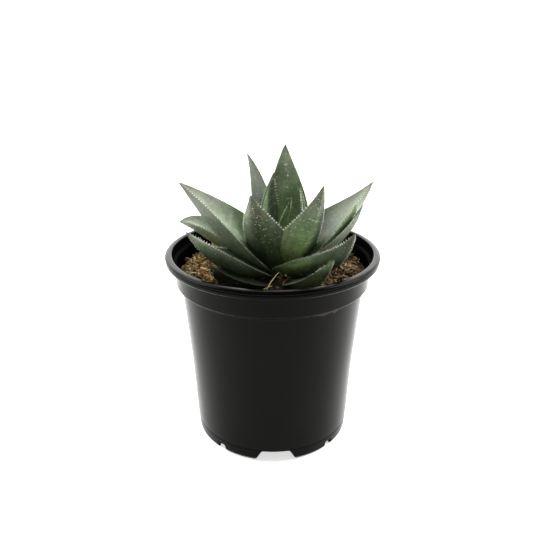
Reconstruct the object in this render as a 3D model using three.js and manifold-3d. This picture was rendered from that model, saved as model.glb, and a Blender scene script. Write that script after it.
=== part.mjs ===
// A small toothed rosette succulent growing in a round black plastic nursery pot.
// Units are millimetres, +Z is up, the origin is the centre of the pot's base.
import * as THREE from 'three';
import { mergeVertices } from 'three/addons/utils/BufferGeometryUtils.js';
import Module from 'manifold-3d';

const wasm = await Module();
wasm.setup();

// ---------------------------------------------------------------- dimensions
const GAP = 0.3;                 // clearance between neighbouring pieces
const POT_SEGMENTS = 48;
const RIM_RADIUS = 52.4;         // outer edge of the rolled lip
const RIM_HEIGHT = 96.8;         // top of the lip
const FOOT_RADIUS = 37.5;        // outer edge of the foot skirt
const FLOOR_UNDERSIDE = 7.0;
const FLOOR_TOP = 8.0;
// outside of the pot from the foot to the lip, then down the inside: [radius, height]
const POT_OUTSIDE = [
  [36.4, 0], [FOOT_RADIUS, 0], [38.7, 1.6], [39.6, 12], [41.3, 40], [44.75, 79], [44.9, 80.4],
  [47.6, 82.2], [47.6, 92.0], [50.2, 93.2], [RIM_RADIUS, 93.7], [RIM_RADIUS, 95.9],
  [49.6, RIM_HEIGHT], [49.0, 96.4],
];
const POT_INSIDE = [
  [48.7, 92.2], [46.8, 91.7], [46.6, 83.0], [43.9, 80.9], [40.3, 40], [38.6, 12], [38.2, 9.5],
  [36.8, FLOOR_TOP], [0, FLOOR_TOP], [0, FLOOR_UNDERSIDE], [36.2, FLOOR_UNDERSIDE],
];
// notches through the foot skirt: [azimuth, width at the surface, width at the top, height]
const WIDE_NOTCHES = [272.8, 2.8, 92.8, 182.8];
const NARROW_NOTCHES = [229.3, 317.3, 49.3, 137.3];
const WIDE_NOTCH = [20.4, 13.0, 6.2];
const NARROW_NOTCH = [5.8, 4.0, 4.0];
const DRAIN_HOLE_RADIUS = 4.2;
const DRAIN_HOLE_RING = 27;

const STEM_AXIS = [3.5, 1.0];
const STEM_PROFILE = [
  [0, 62], [1.6, 62.6], [3.2, 68], [4.6, 75], [5.6, 82], [5.8, 88], [5.0, 94], [3.2, 99.4], [1.2, 101.6], [0, 102],
];

const LEAF_STATIONS = 14;        // sections from base to tip
const LEAF_SPAN = 4;             // divisions across each face
// name, azimuth, four points of the upper face's centre curve, half width, station of the widest
// section, base width ratio, taper power, thickness, trough depth ratio, roll at base, roll at tip, keel power
const LEAVES = [
  ['leaf_01', 303.8, [[4.34, -0.25, 101.16], [4.32, -0.91, 109.4], [7.35, -3.83, 116.72], [8.69, -6.4, 124.18]], 3.37, 0.239, 0.8, 1.5, 2.5, 0.164, 17.1, 4.9, 1.5],
  ['leaf_02', 21.9, [[6.28, 2.12, 98.14], [14.97, 5.05, 106.49], [15.56, 4.98, 117.09], [12.42, 4.8, 128.16]], 4.42, 0.217, 0.8, 1.5, 2.95, 0.05, -12.2, -21.1, 1.5],
  ['leaf_03', 144.3, [[0.66, 3.04, 97.81], [-4.73, 7.7, 107.53], [-3.36, 8.69, 118.74], [-1.04, 9.0, 129.8]], 6.3, 0.27, 0.8, 1.5, 3.5, 0.118, -9.4, -9.5, 1.5],
  ['leaf_04', 120.8, [[1.96, 3.58, 99.22], [-1.67, 8.39, 109.84], [-2.31, 9.51, 121.51], [0.61, 8.81, 133.36]], 5.78, 0.237, 0.8, 1.5, 3.5, 0.113, 4.6, -0.7, 1.5],
  ['leaf_05', 77.8, [[4.34, 4.91, 98.5], [8.97, 10.67, 113.66], [6.24, 11.57, 130.27], [6.03, 11.99, 146.38]], 11.73, 0.223, 0.8, 1.5, 5.0, 0.125, 11.2, -14.1, 1.5],
  ['leaf_06', 304.7, [[6.35, -3.11, 92.52], [11.67, -11.69, 105.99], [19.63, -18.55, 120.02], [22.18, -24.75, 135.68]], 12.22, 0.206, 0.8, 1.5, 5.52, 0.099, -21.6, 9.1, 1.5],
  ['leaf_07', 135.6, [[-0.07, 4.5, 95.27], [-6.48, 10.48, 109.21], [-5.62, 12.2, 127.02], [-12.9, 17.96, 140.77]], 9.93, 0.219, 0.8, 1.5, 5.0, 0.12, 9.9, 10.0, 1.5],
  ['leaf_08', 244.5, [[1.34, -3.51, 90.88], [-0.91, -7.19, 106.73], [-7.39, -21.1, 116.17], [-9.36, -26.54, 131.1]], 13.54, 0.17, 0.8, 1.5, 5.0, 0.047, -1.2, 9.4, 1.5],
  ['leaf_09', 0.9, [[8.5, 1.08, 92.43], [22.83, 1.23, 103.84], [37.22, 0.6, 115.97], [47.76, 0.55, 131.21]], 12.91, 0.297, 0.8, 1.5, 7.95, 0.22, 29.4, -1.6, 1.5],
  ['leaf_10', 190.6, [[-1.42, 0.08, 89.31], [-16.41, -3.06, 102.59], [-28.94, -6.38, 119.09], [-43.47, -9.24, 132.88]], 14.89, 0.301, 0.8, 1.5, 7.61, 0.359, -21.0, -7.2, 1.5],
  ['leaf_11', 92, [[3.33, 6.0, 92.5], [1.89, 18.84, 99.23], [0.46, 30.52, 109.27], [-0.82, 38.87, 122.0]], 11.0, 0.26, 0.8, 1.5, 5.6, 0.2, 0, 0.0, 1.5],
  ['leaf_12', 42, [[7.59, 4.68, 90.5], [16.31, 12.53, 94.1], [24.13, 19.58, 100.9], [29.51, 24.42, 110.5]], 11.0, 0.26, 0.8, 1.5, 5.6, 0.2, 6, -3.0, 1.5],
  ['leaf_13', 350.4, [[9.42, 0.0, 90.44], [22.02, -2.32, 98.83], [36.13, -5.04, 106.24], [42.4, -6.02, 121.6]], 10.56, 0.27, 0.8, 1.5, 5.29, 0.124, 8.6, -3.1, 1.5],
  ['leaf_14', 315.8, [[-1.37, -0.35, 84.58], [21, -13.14, 95.96], [32.48, -25.83, 97.92], [35.9, -32.05, 116.17]], 10.14, 0.287, 0.449, 1.5, 6.58, 0.376, 7.8, -26, 1.5],
  ['leaf_15', 155, [[-1.48, 3.32, 91.0], [-13.02, 8.7, 95.75], [-23.49, 13.58, 103.75], [-30.94, 17.06, 114.5]], 11.0, 0.26, 0.8, 1.5, 5.6, 0.2, -6, 3.0, 1.5],
  ['leaf_16', 112, [[1.25, 6.56, 89.5], [-3.95, 19.43, 94.25], [-8.72, 31.24, 102.25], [-12.23, 39.94, 113.0]], 10.5, 0.26, 0.8, 1.5, 5.6, 0.2, 5, -2.5, 1.5],
  ['leaf_17', 213.7, [[-1.49, -2.33, 87.05], [-14.81, -11.33, 94.47], [-28.8, -20.82, 101.58], [-38.58, -27.71, 115.5]], 10.57, 0.299, 0.8, 1.5, 7.42, 0.157, -20.8, 17.6, 1.5],
  ['leaf_18', 63, [[6.22, 6.35, 89.0], [12.08, 17.83, 92.44], [17.4, 28.27, 99.06], [21.21, 35.75, 108.5]], 10.5, 0.26, 0.8, 1.5, 5.4, 0.2, -5, 2.5, 1.5],
  ['leaf_19', 176.5, [[-2.49, 1.37, 89.71], [-17.9, 1.69, 93.86], [-29.53, 5.13, 106.88], [-45.73, 2.51, 109.71]], 9.47, 0.463, 0.8, 4.5, 4.55, 0.396, -8.1, 4.4, 1.5],
  ['leaf_20', 302.3, [[6.7, -4.07, 85.37], [14.81, -17.46, 86.11], [23.12, -27.47, 92.86], [26.24, -36.37, 105.62]], 9.48, 0.299, 0.8, 1.5, 5.88, 0.107, 19.3, -1.6, 1.5],
  ['leaf_21', 22, [[9.53, 3.43, 86.5], [20.1, 7.71, 88.95], [29.55, 11.52, 93.55], [35.95, 14.11, 101.5]], 9.5, 0.26, 0.8, 1.5, 4.6, 0.2, 0, 0.0, 1.5],
  ['leaf_22', 229.8, [[-0.37, -3.58, 84.77], [-11.07, -15.42, 87.39], [-21.59, -28.11, 89.96], [-27.77, -37.03, 104.09]], 10.95, 0.313, 0.8, 1.5, 8.48, 0.179, -18.5, -6.1, 1.5],
  ['leaf_23', 134, [[-1.02, 5.68, 86.5], [-10.77, 15.78, 89.28], [-19.74, 25.07, 94.22], [-26.37, 31.93, 104.0]], 9.5, 0.26, 0.8, 1.5, 4.8, 0.2, 6, -3.0, 1.5],
  ['leaf_24', 85, [[4.07, 7.48, 85.5], [5.32, 21.8, 87.61], [6.47, 35.0, 91.39], [7.33, 44.83, 101.0]], 9.5, 0.26, 0.8, 1.5, 4.8, 0.2, -6, 3.0, 1.5],
];

// ---------------------------------------------------------------- helpers
function toManifold(geometry) {
  const g = geometry.clone();
  for (const key of Object.keys(g.attributes)) if (key !== 'position') g.deleteAttribute(key);
  const merged = mergeVertices(g, 1e-5);
  const solid = new wasm.Manifold(new wasm.Mesh({
    numProp: 3,
    vertProperties: new Float32Array(merged.attributes.position.array),
    triVerts: new Uint32Array(merged.index.array),
  }));
  return solid;
}

function toGeometry(solid) {
  const mesh = solid.getMesh();
  const positions = new Float32Array(mesh.numVert * 3);
  for (let i = 0; i < mesh.numVert; i++) {
    for (let k = 0; k < 3; k++) positions[i * 3 + k] = mesh.vertProperties[i * mesh.numProp + k];
  }
  const geometry = new THREE.BufferGeometry();
  geometry.setAttribute('position', new THREE.BufferAttribute(positions, 3));
  geometry.setIndex(Array.from(mesh.triVerts));
  geometry.computeVertexNormals();
  return geometry;
}

// the largest body left by a cut
function mainBody(solid) {
  const bodies = solid.decompose();
  let best = bodies[0];
  for (const body of bodies) if (body.volume() > best.volume()) best = body;
  return best;
}

// profile points are [radius, height], closed on itself, turned about the vertical axis
function turned(profile, segments, cx = 0, cy = 0, closed = true) {
  const points = profile.map(([r, z]) => new THREE.Vector2(r, z));
  if (closed) points.push(points[0].clone());
  const geometry = new THREE.LatheGeometry(points, segments);
  geometry.rotateX(Math.PI / 2);
  geometry.translate(cx, cy, 0);
  return geometry;
}

// a lathe's facing depends on the direction of its profile, so it is set by the sign of its volume
function facingOut(geometry) {
  const g = mergeVertices((() => {
    const c = geometry.clone();
    c.deleteAttribute('normal');
    c.deleteAttribute('uv');
    return c;
  })(), 1e-5);
  const p = g.attributes.position;
  const index = Array.from(g.index.array);
  const a = new THREE.Vector3(), b = new THREE.Vector3(), c = new THREE.Vector3();
  const kept = [];
  let volume = 0;
  for (let i = 0; i < index.length; i += 3) {
    const [i0, i1, i2] = [index[i], index[i + 1], index[i + 2]];
    if (i0 === i1 || i1 === i2 || i2 === i0) continue;
    kept.push(i0, i1, i2);
    a.fromBufferAttribute(p, i0); b.fromBufferAttribute(p, i1); c.fromBufferAttribute(p, i2);
    volume += a.dot(b.cross(c));
  }
  if (volume < 0) for (let i = 0; i < kept.length; i += 3) [kept[i + 1], kept[i + 2]] = [kept[i + 2], kept[i + 1]];
  g.setIndex(kept);
  return g;
}

const rad = (deg) => (deg * Math.PI) / 180;

// ---------------------------------------------------------------- leaf form
function widthProfile(u, widest, base, power) {
  if (u < widest) return base + (1 - base) * Math.sin((Math.PI / 2) * (u / widest));
  const x = (u - widest) / (1 - widest);
  return 1 - Math.pow(x, power);
}

function leafFrame(leaf, u) {
  const [, azimuth, P, , , , , , , roll0, roll1] = leaf;
  const q = P.map((p) => new THREE.Vector3(...p));
  const v = 1 - u;
  const centre = new THREE.Vector3()
    .addScaledVector(q[0], v * v * v).addScaledVector(q[1], 3 * u * v * v)
    .addScaledVector(q[2], 3 * u * u * v).addScaledVector(q[3], u * u * u);
  const tangent = new THREE.Vector3()
    .addScaledVector(q[1].clone().sub(q[0]), 3 * v * v)
    .addScaledVector(q[2].clone().sub(q[1]), 6 * u * v)
    .addScaledVector(q[3].clone().sub(q[2]), 3 * u * u).normalize();
  const a = rad(azimuth);
  const across = new THREE.Vector3(-Math.sin(a), Math.cos(a), 0);
  const n = tangent.clone().cross(across).normalize();
  const s = n.clone().cross(tangent);
  const roll = rad(roll0 + (roll1 - roll0) * u);
  const side = s.clone().multiplyScalar(Math.cos(roll)).addScaledVector(n, Math.sin(roll));
  const normal = n.clone().multiplyScalar(Math.cos(roll)).addScaledVector(s, -Math.sin(roll));
  return { centre, tangent, side, normal };
}

// closed keeled blade: flat or troughed upper face, convex keeled underside, pointed tip
function leafGeometry(leaf, grow = 0) {
  const [, , , halfWidth, widest, base, power, thickness, trough, , , keel] = leaf;
  const positions = [];
  const ring = 2 * LEAF_SPAN;
  const put = (f, x, y, lift = 0) => {
    const p = f.centre.clone().addScaledVector(f.side, x).addScaledVector(f.normal, y).addScaledVector(f.tangent, lift);
    positions.push(p.x, p.y, p.z);
  };
  for (let i = 0; i < LEAF_STATIONS - 1; i++) {
    const u = i / (LEAF_STATIONS - 1);
    const f = leafFrame(leaf, u);
    const w = halfWidth * widthProfile(u, widest, base, power);
    const t = thickness * widthProfile(u, widest, 0.8, 1.6);
    const lift = i === 0 ? -grow : 0;
    for (let j = 0; j <= LEAF_SPAN; j++) {
      const x = Math.cos((Math.PI * j) / LEAF_SPAN);
      const edge = j === 0 || j === LEAF_SPAN;
      put(f, x * (w + (edge ? 2 * grow : 0)), trough * w * x * x + (edge ? grow * (0.4 + 4 * trough) : grow), lift);
    }
    for (let j = LEAF_SPAN - 1; j >= 1; j--) {
      const x = Math.cos((Math.PI * j) / LEAF_SPAN);
      put(f, x * w, trough * w * x * x - t * (1 - Math.pow(Math.abs(x), keel)) - grow, lift);
    }
  }
  const tipFrame = leafFrame(leaf, 1);
  const tip = positions.length / 3;
  put(tipFrame, 0, 0, grow * 2);
  const baseFrame = leafFrame(leaf, 0);
  const cap = positions.length / 3;
  put(baseFrame, 0, -thickness * 0.3, -grow);
  const index = [];
  for (let i = 0; i < LEAF_STATIONS - 2; i++) {
    for (let j = 0; j < ring; j++) {
      const a = i * ring + j, b = i * ring + ((j + 1) % ring);
      index.push(a, b, b + ring, a, b + ring, a + ring);
    }
  }
  for (let j = 0; j < ring; j++) {
    const a = (LEAF_STATIONS - 2) * ring + j, b = (LEAF_STATIONS - 2) * ring + ((j + 1) % ring);
    index.push(a, b, tip);
    index.push(j, cap, (j + 1) % ring);
  }
  const geometry = new THREE.BufferGeometry();
  geometry.setAttribute('position', new THREE.BufferAttribute(new Float32Array(positions), 3));
  geometry.setIndex(index);
  return facingOut(geometry);
}

// ---------------------------------------------------------------- pot
function notchCutter(azimuth, [wide, narrow, height]) {
  const shape = new THREE.Shape();
  shape.moveTo(-wide / 2 - 0.6, -1);
  shape.lineTo(wide / 2 + 0.6, -1);
  shape.lineTo(wide / 2, 0);
  shape.lineTo(narrow / 2, height);
  shape.lineTo(-narrow / 2, height);
  shape.lineTo(-wide / 2, 0);
  const g = new THREE.ExtrudeGeometry(shape, { depth: 12, bevelEnabled: false });
  g.rotateX(Math.PI / 2);                       // height along +Z, depth along -Y
  g.translate(0, -(FOOT_RADIUS - 8), 0);
  g.rotateZ(rad(azimuth - 270));
  return toManifold(g);
}

let pot = toManifold(facingOut(turned([...POT_OUTSIDE, ...POT_INSIDE], POT_SEGMENTS)));
for (const a of WIDE_NOTCHES) pot = pot.subtract(notchCutter(a, WIDE_NOTCH));
for (const a of NARROW_NOTCHES) pot = pot.subtract(notchCutter(a, NARROW_NOTCH));
function drainHole(x, y) {
  const g = new THREE.CylinderGeometry(DRAIN_HOLE_RADIUS, DRAIN_HOLE_RADIUS, 4, 16);
  g.rotateX(Math.PI / 2);
  g.translate(x, y, (FLOOR_TOP + FLOOR_UNDERSIDE) / 2);
  return toManifold(g);
}
pot = pot.subtract(drainHole(0, 0));
for (const a of [47.8, 137.8, 227.8, 317.8]) {
  pot = pot.subtract(drainHole(DRAIN_HOLE_RING * Math.cos(rad(a)), DRAIN_HOLE_RING * Math.sin(rad(a))));
}

// ---------------------------------------------------------------- stem and leaves
const stemGeometry = facingOut(turned(STEM_PROFILE, 16, STEM_AXIS[0], STEM_AXIS[1], false));
const stem = toManifold(stemGeometry);
const grownStem = toManifold(facingOut(turned(
  STEM_PROFILE.map(([r, z], i) => [i === 0 || i === STEM_PROFILE.length - 1 ? 0 : r + GAP,
    i === 0 ? z - GAP * 1.5 : i === STEM_PROFILE.length - 1 ? z + GAP * 1.5 : z]),
  16, STEM_AXIS[0], STEM_AXIS[1], false)));

// each leaf is hollowed where the younger leaves and the stem press into it
const leafSolids = [];
const grown = [];
for (const leaf of LEAVES) {
  let solid = toManifold(leafGeometry(leaf)).subtract(grownStem);
  const box = solid.boundingBox();
  for (const other of grown) {
    const b = other.box;
    const apart = [0, 1, 2].some((k) => b.min[k] > box.max[k] || b.max[k] < box.min[k]);
    if (!apart) solid = solid.subtract(other.solid);
  }
  solid = mainBody(solid);
  leafSolids.push([leaf[0], solid]);
  const big = toManifold(leafGeometry(leaf, GAP * 1.2));
  grown.push({ solid: big, box: big.boundingBox() });
}

// ---------------------------------------------------------------- growing medium
// loose husk and bark mix, mounded a little below the ledge of the pot
function mediumTop(r, a) {
  const mound = 84.6 + 2.2 * Math.cos((Math.PI / 2) * Math.min(1, Math.abs(r - 24) / 24));
  const uneven = 0.9 * Math.sin(3 * a + 0.7) + 0.6 * Math.sin(7 * a + r * 0.25) + 0.5 * Math.cos(5 * a - r * 0.4);
  return mound + uneven * Math.min(1, r / 14);
}
function mediumGeometry() {
  const segments = 32;
  const rings = [6, 14, 23, 32, 40, 46.2];
  const wall = [[46.2, 83.4], [43.4, 81.2], [39.9, 40], [38.2, 12], [37.7, 9.9], [36.5, FLOOR_TOP + GAP]];
  const positions = [0, 0, mediumTop(0, 0)];
  for (const r of rings) {
    for (let j = 0; j < segments; j++) {
      const a = (2 * Math.PI * j) / segments;
      const z = mediumTop(r, a);
      positions.push(r * Math.cos(a), r * Math.sin(a), z);
    }
  }
  for (const [r, z] of wall) {
    for (let j = 0; j < segments; j++) {
      const a = (2 * Math.PI * j) / segments;
      positions.push(r * Math.cos(a), r * Math.sin(a), z);
    }
  }
  const last = positions.length / 3;
  positions.push(0, 0, FLOOR_TOP + GAP);
  const index = [];
  for (let j = 0; j < segments; j++) index.push(0, 1 + j, 1 + ((j + 1) % segments));
  const rows = rings.length + wall.length;
  for (let i = 0; i < rows - 1; i++) {
    for (let j = 0; j < segments; j++) {
      const a = 1 + i * segments + j, b = 1 + i * segments + ((j + 1) % segments);
      index.push(a, a + segments, b + segments, a, b + segments, b);
    }
  }
  const base = 1 + (rows - 1) * segments;
  for (let j = 0; j < segments; j++) index.push(base + j, last, base + ((j + 1) % segments));
  const geometry = new THREE.BufferGeometry();
  geometry.setAttribute('position', new THREE.BufferAttribute(new Float32Array(positions), 3));
  geometry.setIndex(index);
  return facingOut(geometry);
}
let medium = toManifold(mediumGeometry()).subtract(grownStem);
for (const other of grown) medium = medium.subtract(other.solid);
medium = mainBody(medium);

// ---------------------------------------------------------------- assembly
const part = new THREE.Group();
function add(name, geometry, color, roughness, metalness = 0) {
  const mesh = new THREE.Mesh(geometry, new THREE.MeshStandardMaterial({ color, roughness, metalness }));
  mesh.name = name;
  part.add(mesh);
}
add('pot', toGeometry(pot), 0x1d1f1e, 0.42);
add('potting_mix', toGeometry(medium), 0xa88452, 0.95);
add('stem', toGeometry(stem), 0x8d9468, 0.7);
for (const [name, solid] of leafSolids) add(name, toGeometry(solid), 0x66785f, 0.5);

export default part;
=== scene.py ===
# Toothed rosette succulent in a round black nursery pot: the finished surfaces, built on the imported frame.
# Lengths in the tables are millimetres; everything is turned into metres when a mesh is made.
import bpy
import math
import numpy as np
from mathutils import Matrix, Vector
from mathutils.bvhtree import BVHTree


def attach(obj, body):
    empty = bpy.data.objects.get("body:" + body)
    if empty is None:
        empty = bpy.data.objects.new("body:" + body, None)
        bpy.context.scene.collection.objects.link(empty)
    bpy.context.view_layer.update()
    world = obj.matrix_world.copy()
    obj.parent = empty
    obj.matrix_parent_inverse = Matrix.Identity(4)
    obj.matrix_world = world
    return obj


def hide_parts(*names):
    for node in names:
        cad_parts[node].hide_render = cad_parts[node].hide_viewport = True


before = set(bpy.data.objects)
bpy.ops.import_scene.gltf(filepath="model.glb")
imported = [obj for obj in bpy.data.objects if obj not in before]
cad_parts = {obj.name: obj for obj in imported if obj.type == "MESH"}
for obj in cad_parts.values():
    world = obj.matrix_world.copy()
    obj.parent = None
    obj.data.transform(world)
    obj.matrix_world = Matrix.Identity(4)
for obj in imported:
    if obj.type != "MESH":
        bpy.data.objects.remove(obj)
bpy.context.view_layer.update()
MM = 0.001
BODY = "root"


# ------------------------------------------------------------------ small helpers
def lin(r, g, b):
    c = np.array([r, g, b], float) / 255.0
    return np.where(c <= 0.04045, c / 12.92, ((c + 0.055) / 1.055) ** 2.4)


def smooth01(a, b, x):
    t = np.clip((np.asarray(x, float) - a) / (b - a), 0, 1)
    return t * t * (3 - 2 * t)


def mixc(a, b, t):
    t = np.asarray(t, float)[..., None]
    return np.asarray(a) * (1 - t) + np.asarray(b) * t


def unit(v):
    v = np.asarray(v, float)
    return v / (np.linalg.norm(v, axis=-1, keepdims=True) + 1e-12)


def lattice_noise(p, seed):
    """Smooth value noise in 0..1 at points p (..., 3), one cell per unit."""
    p = np.asarray(p, float)
    i = np.floor(p).astype(np.int64)
    f = p - i
    f = f * f * (3 - 2 * f)
    total = np.zeros(p.shape[:-1])
    for dx in (0, 1):
        for dy in (0, 1):
            for dz in (0, 1):
                x, y, z = i[..., 0] + dx, i[..., 1] + dy, i[..., 2] + dz
                h = (x * 374761393 + y * 668265263 + z * 2147483647 + seed * 1274126177) & 0x7FFFFFFF
                h = ((h ^ (h >> 13)) * 1274126177) & 0x7FFFFFFF
                h = (h ^ (h >> 16)) & 0xFFFF
                w = (f[..., 0] if dx else 1 - f[..., 0]) * (f[..., 1] if dy else 1 - f[..., 1]) * (f[..., 2] if dz else 1 - f[..., 2])
                total += w * (h / 65535.0)
    return total


def make_mesh(name, verts, faces, materials=(), colours=None, vectors=None, index=None, smooth=True, sharp=None):
    """verts (N,3) in mm; faces is a list of (n,k) arrays; colours and vectors are per-vertex attributes."""
    me = bpy.data.meshes.new(name)
    verts = np.asarray(verts, float)
    faces = [np.asarray(f, np.int32) for f in faces if len(f)]
    me.vertices.add(len(verts))
    me.vertices.foreach_set("co", (verts * MM).astype(np.float32).ravel())
    loops = np.concatenate([f.ravel() for f in faces])
    me.loops.add(len(loops))
    me.loops.foreach_set("vertex_index", loops)
    starts, at = [], 0
    for f in faces:
        n, k = f.shape
        starts.append(at + np.arange(n) * k)
        at += n * k
    starts = np.concatenate(starts).astype(np.int32)
    me.polygons.add(len(starts))
    me.polygons.foreach_set("loop_start", starts)
    if index is not None:
        me.polygons.foreach_set("material_index", np.concatenate([np.asarray(i, np.int32).ravel() for i in index]).astype(np.int32))
    me.update(calc_edges=True)
    for m in materials:
        me.materials.append(m)
    for key, value in (colours or {}).items():
        a = me.attributes.new(key, "FLOAT_COLOR", "POINT")
        v = np.ones((len(verts), 4), np.float32)
        v[:, : value.shape[1]] = value
        a.data.foreach_set("color", v.ravel())
    for key, value in (vectors or {}).items():
        a = me.attributes.new(key, "FLOAT_VECTOR", "POINT")
        a.data.foreach_set("vector", np.asarray(value, np.float32).ravel())
    me.polygons.foreach_set("use_smooth", np.full(len(me.polygons), smooth))
    if smooth and sharp is not None:
        mark_sharp(me, sharp)
    me.update()
    return me


def mark_sharp(me, angle):
    """Edges whose faces meet at more than this angle, in degrees, are drawn sharp."""
    n = len(me.polygons)
    normal = np.zeros(n * 3, np.float32)
    me.polygons.foreach_get("normal", normal)
    normal = normal.reshape(-1, 3)
    edge = np.zeros(len(me.loops), np.int32)
    me.loops.foreach_get("edge_index", edge)
    start = np.zeros(n, np.int32)
    me.polygons.foreach_get("loop_start", start)
    total = np.zeros(n, np.int32)
    me.polygons.foreach_get("loop_total", total)
    face = np.repeat(np.arange(n), total)
    order = np.argsort(edge, kind="stable")
    e, f = edge[order], face[order]
    same = e[1:] == e[:-1]
    cosine = np.einsum("ij,ij->i", normal[f[1:][same]], normal[f[:-1][same]])
    flag = np.zeros(len(me.edges), bool)
    flag[e[1:][same]] = cosine < math.cos(math.radians(angle))
    me.edges.foreach_set("use_edge_sharp", flag)


def add_object(name, me, replaces=()):
    o = bpy.data.objects.new(name, me)
    bpy.context.scene.collection.objects.link(o)
    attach(o, BODY)
    if replaces:
        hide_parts(*replaces)
    return o


class Heap:
    """Collects loose shells that become one mesh."""

    def __init__(self):
        self.v, self.f, self.i, self.c, self.l, self.n = [], {}, {}, [], [], 0

    def add(self, verts, faces, tint, material=0, local=None):
        """faces: list of (n,k) arrays; tint: (3,), or (N,3) per vertex."""
        verts = np.asarray(verts, float)
        tint = np.asarray(tint, float)
        if tint.ndim == 1:
            tint = np.broadcast_to(tint, (len(verts), tint.shape[0]))
        self.v.append(verts)
        self.c.append(tint)
        self.l.append(np.zeros((len(verts), 3)) if local is None else np.asarray(local, float))
        for f in faces:
            f = np.asarray(f)
            if len(f):
                self.f.setdefault(f.shape[1], []).append(f + self.n)
                self.i.setdefault(f.shape[1], []).append(np.full(len(f), material))
        self.n += len(verts)

    def mesh(self, name, materials, smooth=True, sharp=None):
        keys = sorted(self.f)
        return make_mesh(name, np.concatenate(self.v), [np.concatenate(self.f[k]) for k in keys], materials,
                         {"tint": np.concatenate(self.c)}, {"local": np.concatenate(self.l)},
                         [np.concatenate(self.i[k]) for k in keys], smooth, sharp)


# ------------------------------------------------------------------ node materials
class Tree:
    def __init__(self, name):
        self.material = bpy.data.materials.new(name)
        self.material.use_nodes = True
        self.t = self.material.node_tree
        self.t.nodes.clear()
        self.out = self.t.nodes.new("ShaderNodeOutputMaterial")
        self.bsdf = self.t.nodes.new("ShaderNodeBsdfPrincipled")
        self.t.links.new(self.bsdf.outputs[0], self.out.inputs[0])
        self.coords = None

    def node(self, kind, **settings):
        n = self.t.nodes.new(kind)
        for k, v in settings.items():
            setattr(n, k, v)
        return n

    def put(self, socket, value):
        if isinstance(value, bpy.types.NodeSocket):
            self.t.links.new(value, socket)
        else:
            socket.default_value = value

    def set(self, **values):
        for k, v in values.items():
            self.put(self.bsdf.inputs[k.replace("_", " ")], v)

    def where(self):
        if self.coords is None:
            self.coords = self.node("ShaderNodeTexCoord").outputs["Object"]
        return self.coords

    def attribute(self, name):
        return self.node("ShaderNodeAttribute", attribute_name=name)

    def scaled(self, vector, scale, location=(0, 0, 0)):
        m = self.node("ShaderNodeMapping")
        self.put(m.inputs["Vector"], vector)
        m.inputs["Scale"].default_value = scale
        m.inputs["Location"].default_value = location
        return m.outputs[0]

    def noise(self, vector, scale, detail=2.0, rough=0.5, distortion=0.0):
        n = self.node("ShaderNodeTexNoise")
        self.put(n.inputs["Vector"], vector)
        n.inputs["Scale"].default_value = scale
        n.inputs["Detail"].default_value = detail
        n.inputs["Roughness"].default_value = rough
        n.inputs["Distortion"].default_value = distortion
        return n.outputs["Fac"]

    def cells(self, vector, scale, feature="F1", out="Distance"):
        n = self.node("ShaderNodeTexVoronoi", feature=feature)
        self.put(n.inputs["Vector"], vector)
        n.inputs["Scale"].default_value = scale
        return n.outputs[out]

    def ramp(self, value, *stops):
        """stops are (position, grey or rgb)."""
        n = self.node("ShaderNodeValToRGB")
        self.put(n.inputs[0], value)
        e = n.color_ramp.elements
        while len(e) < len(stops):
            e.new(0.5)
        for k, (p, c) in zip(e, stops):
            k.position = p
            c = (c, c, c) if np.isscalar(c) else tuple(c)
            k.color = (*c, 1)
        return n.outputs[0]

    def split(self, vector, axis):
        n = self.node("ShaderNodeSeparateXYZ")
        self.put(n.inputs[0], vector)
        return n.outputs[axis]

    def math(self, op, a, b=0.0, clamp=False):
        n = self.node("ShaderNodeMath", operation=op, use_clamp=clamp)
        self.put(n.inputs[0], a)
        self.put(n.inputs[1], b)
        return n.outputs[0]

    def range(self, value, a, b, c, d):
        n = self.node("ShaderNodeMapRange")
        self.put(n.inputs["Value"], value)
        for k, x in zip(("From Min", "From Max", "To Min", "To Max"), (a, b, c, d)):
            n.inputs[k].default_value = x
        return n.outputs[0]

    def mix(self, fac, a, b, blend="MIX"):
        n = self.node("ShaderNodeMix", data_type="RGBA", blend_type=blend)
        self.put(n.inputs[0], fac)
        for s, v in ((n.inputs[6], a), (n.inputs[7], b)):
            if not isinstance(v, bpy.types.NodeSocket):
                v = (*tuple(v), 1) if len(tuple(v)) == 3 else tuple(v)
            self.put(s, v)
        return n.outputs[2]

    def bump(self, height, strength, distance_mm, below=None):
        n = self.node("ShaderNodeBump")
        n.inputs["Strength"].default_value = strength
        n.inputs["Distance"].default_value = distance_mm * MM
        self.put(n.inputs["Height"], height)
        if below is not None:
            self.put(n.inputs["Normal"], below)
        return n.outputs[0]

    def shade(self, colour, dark, light, value):
        """colour times a factor that runs from dark to light as value goes 0..1."""
        return self.mix(1.0, colour, self.ramp(value, (0.25, dark), (0.75, light)), "MULTIPLY")


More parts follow.
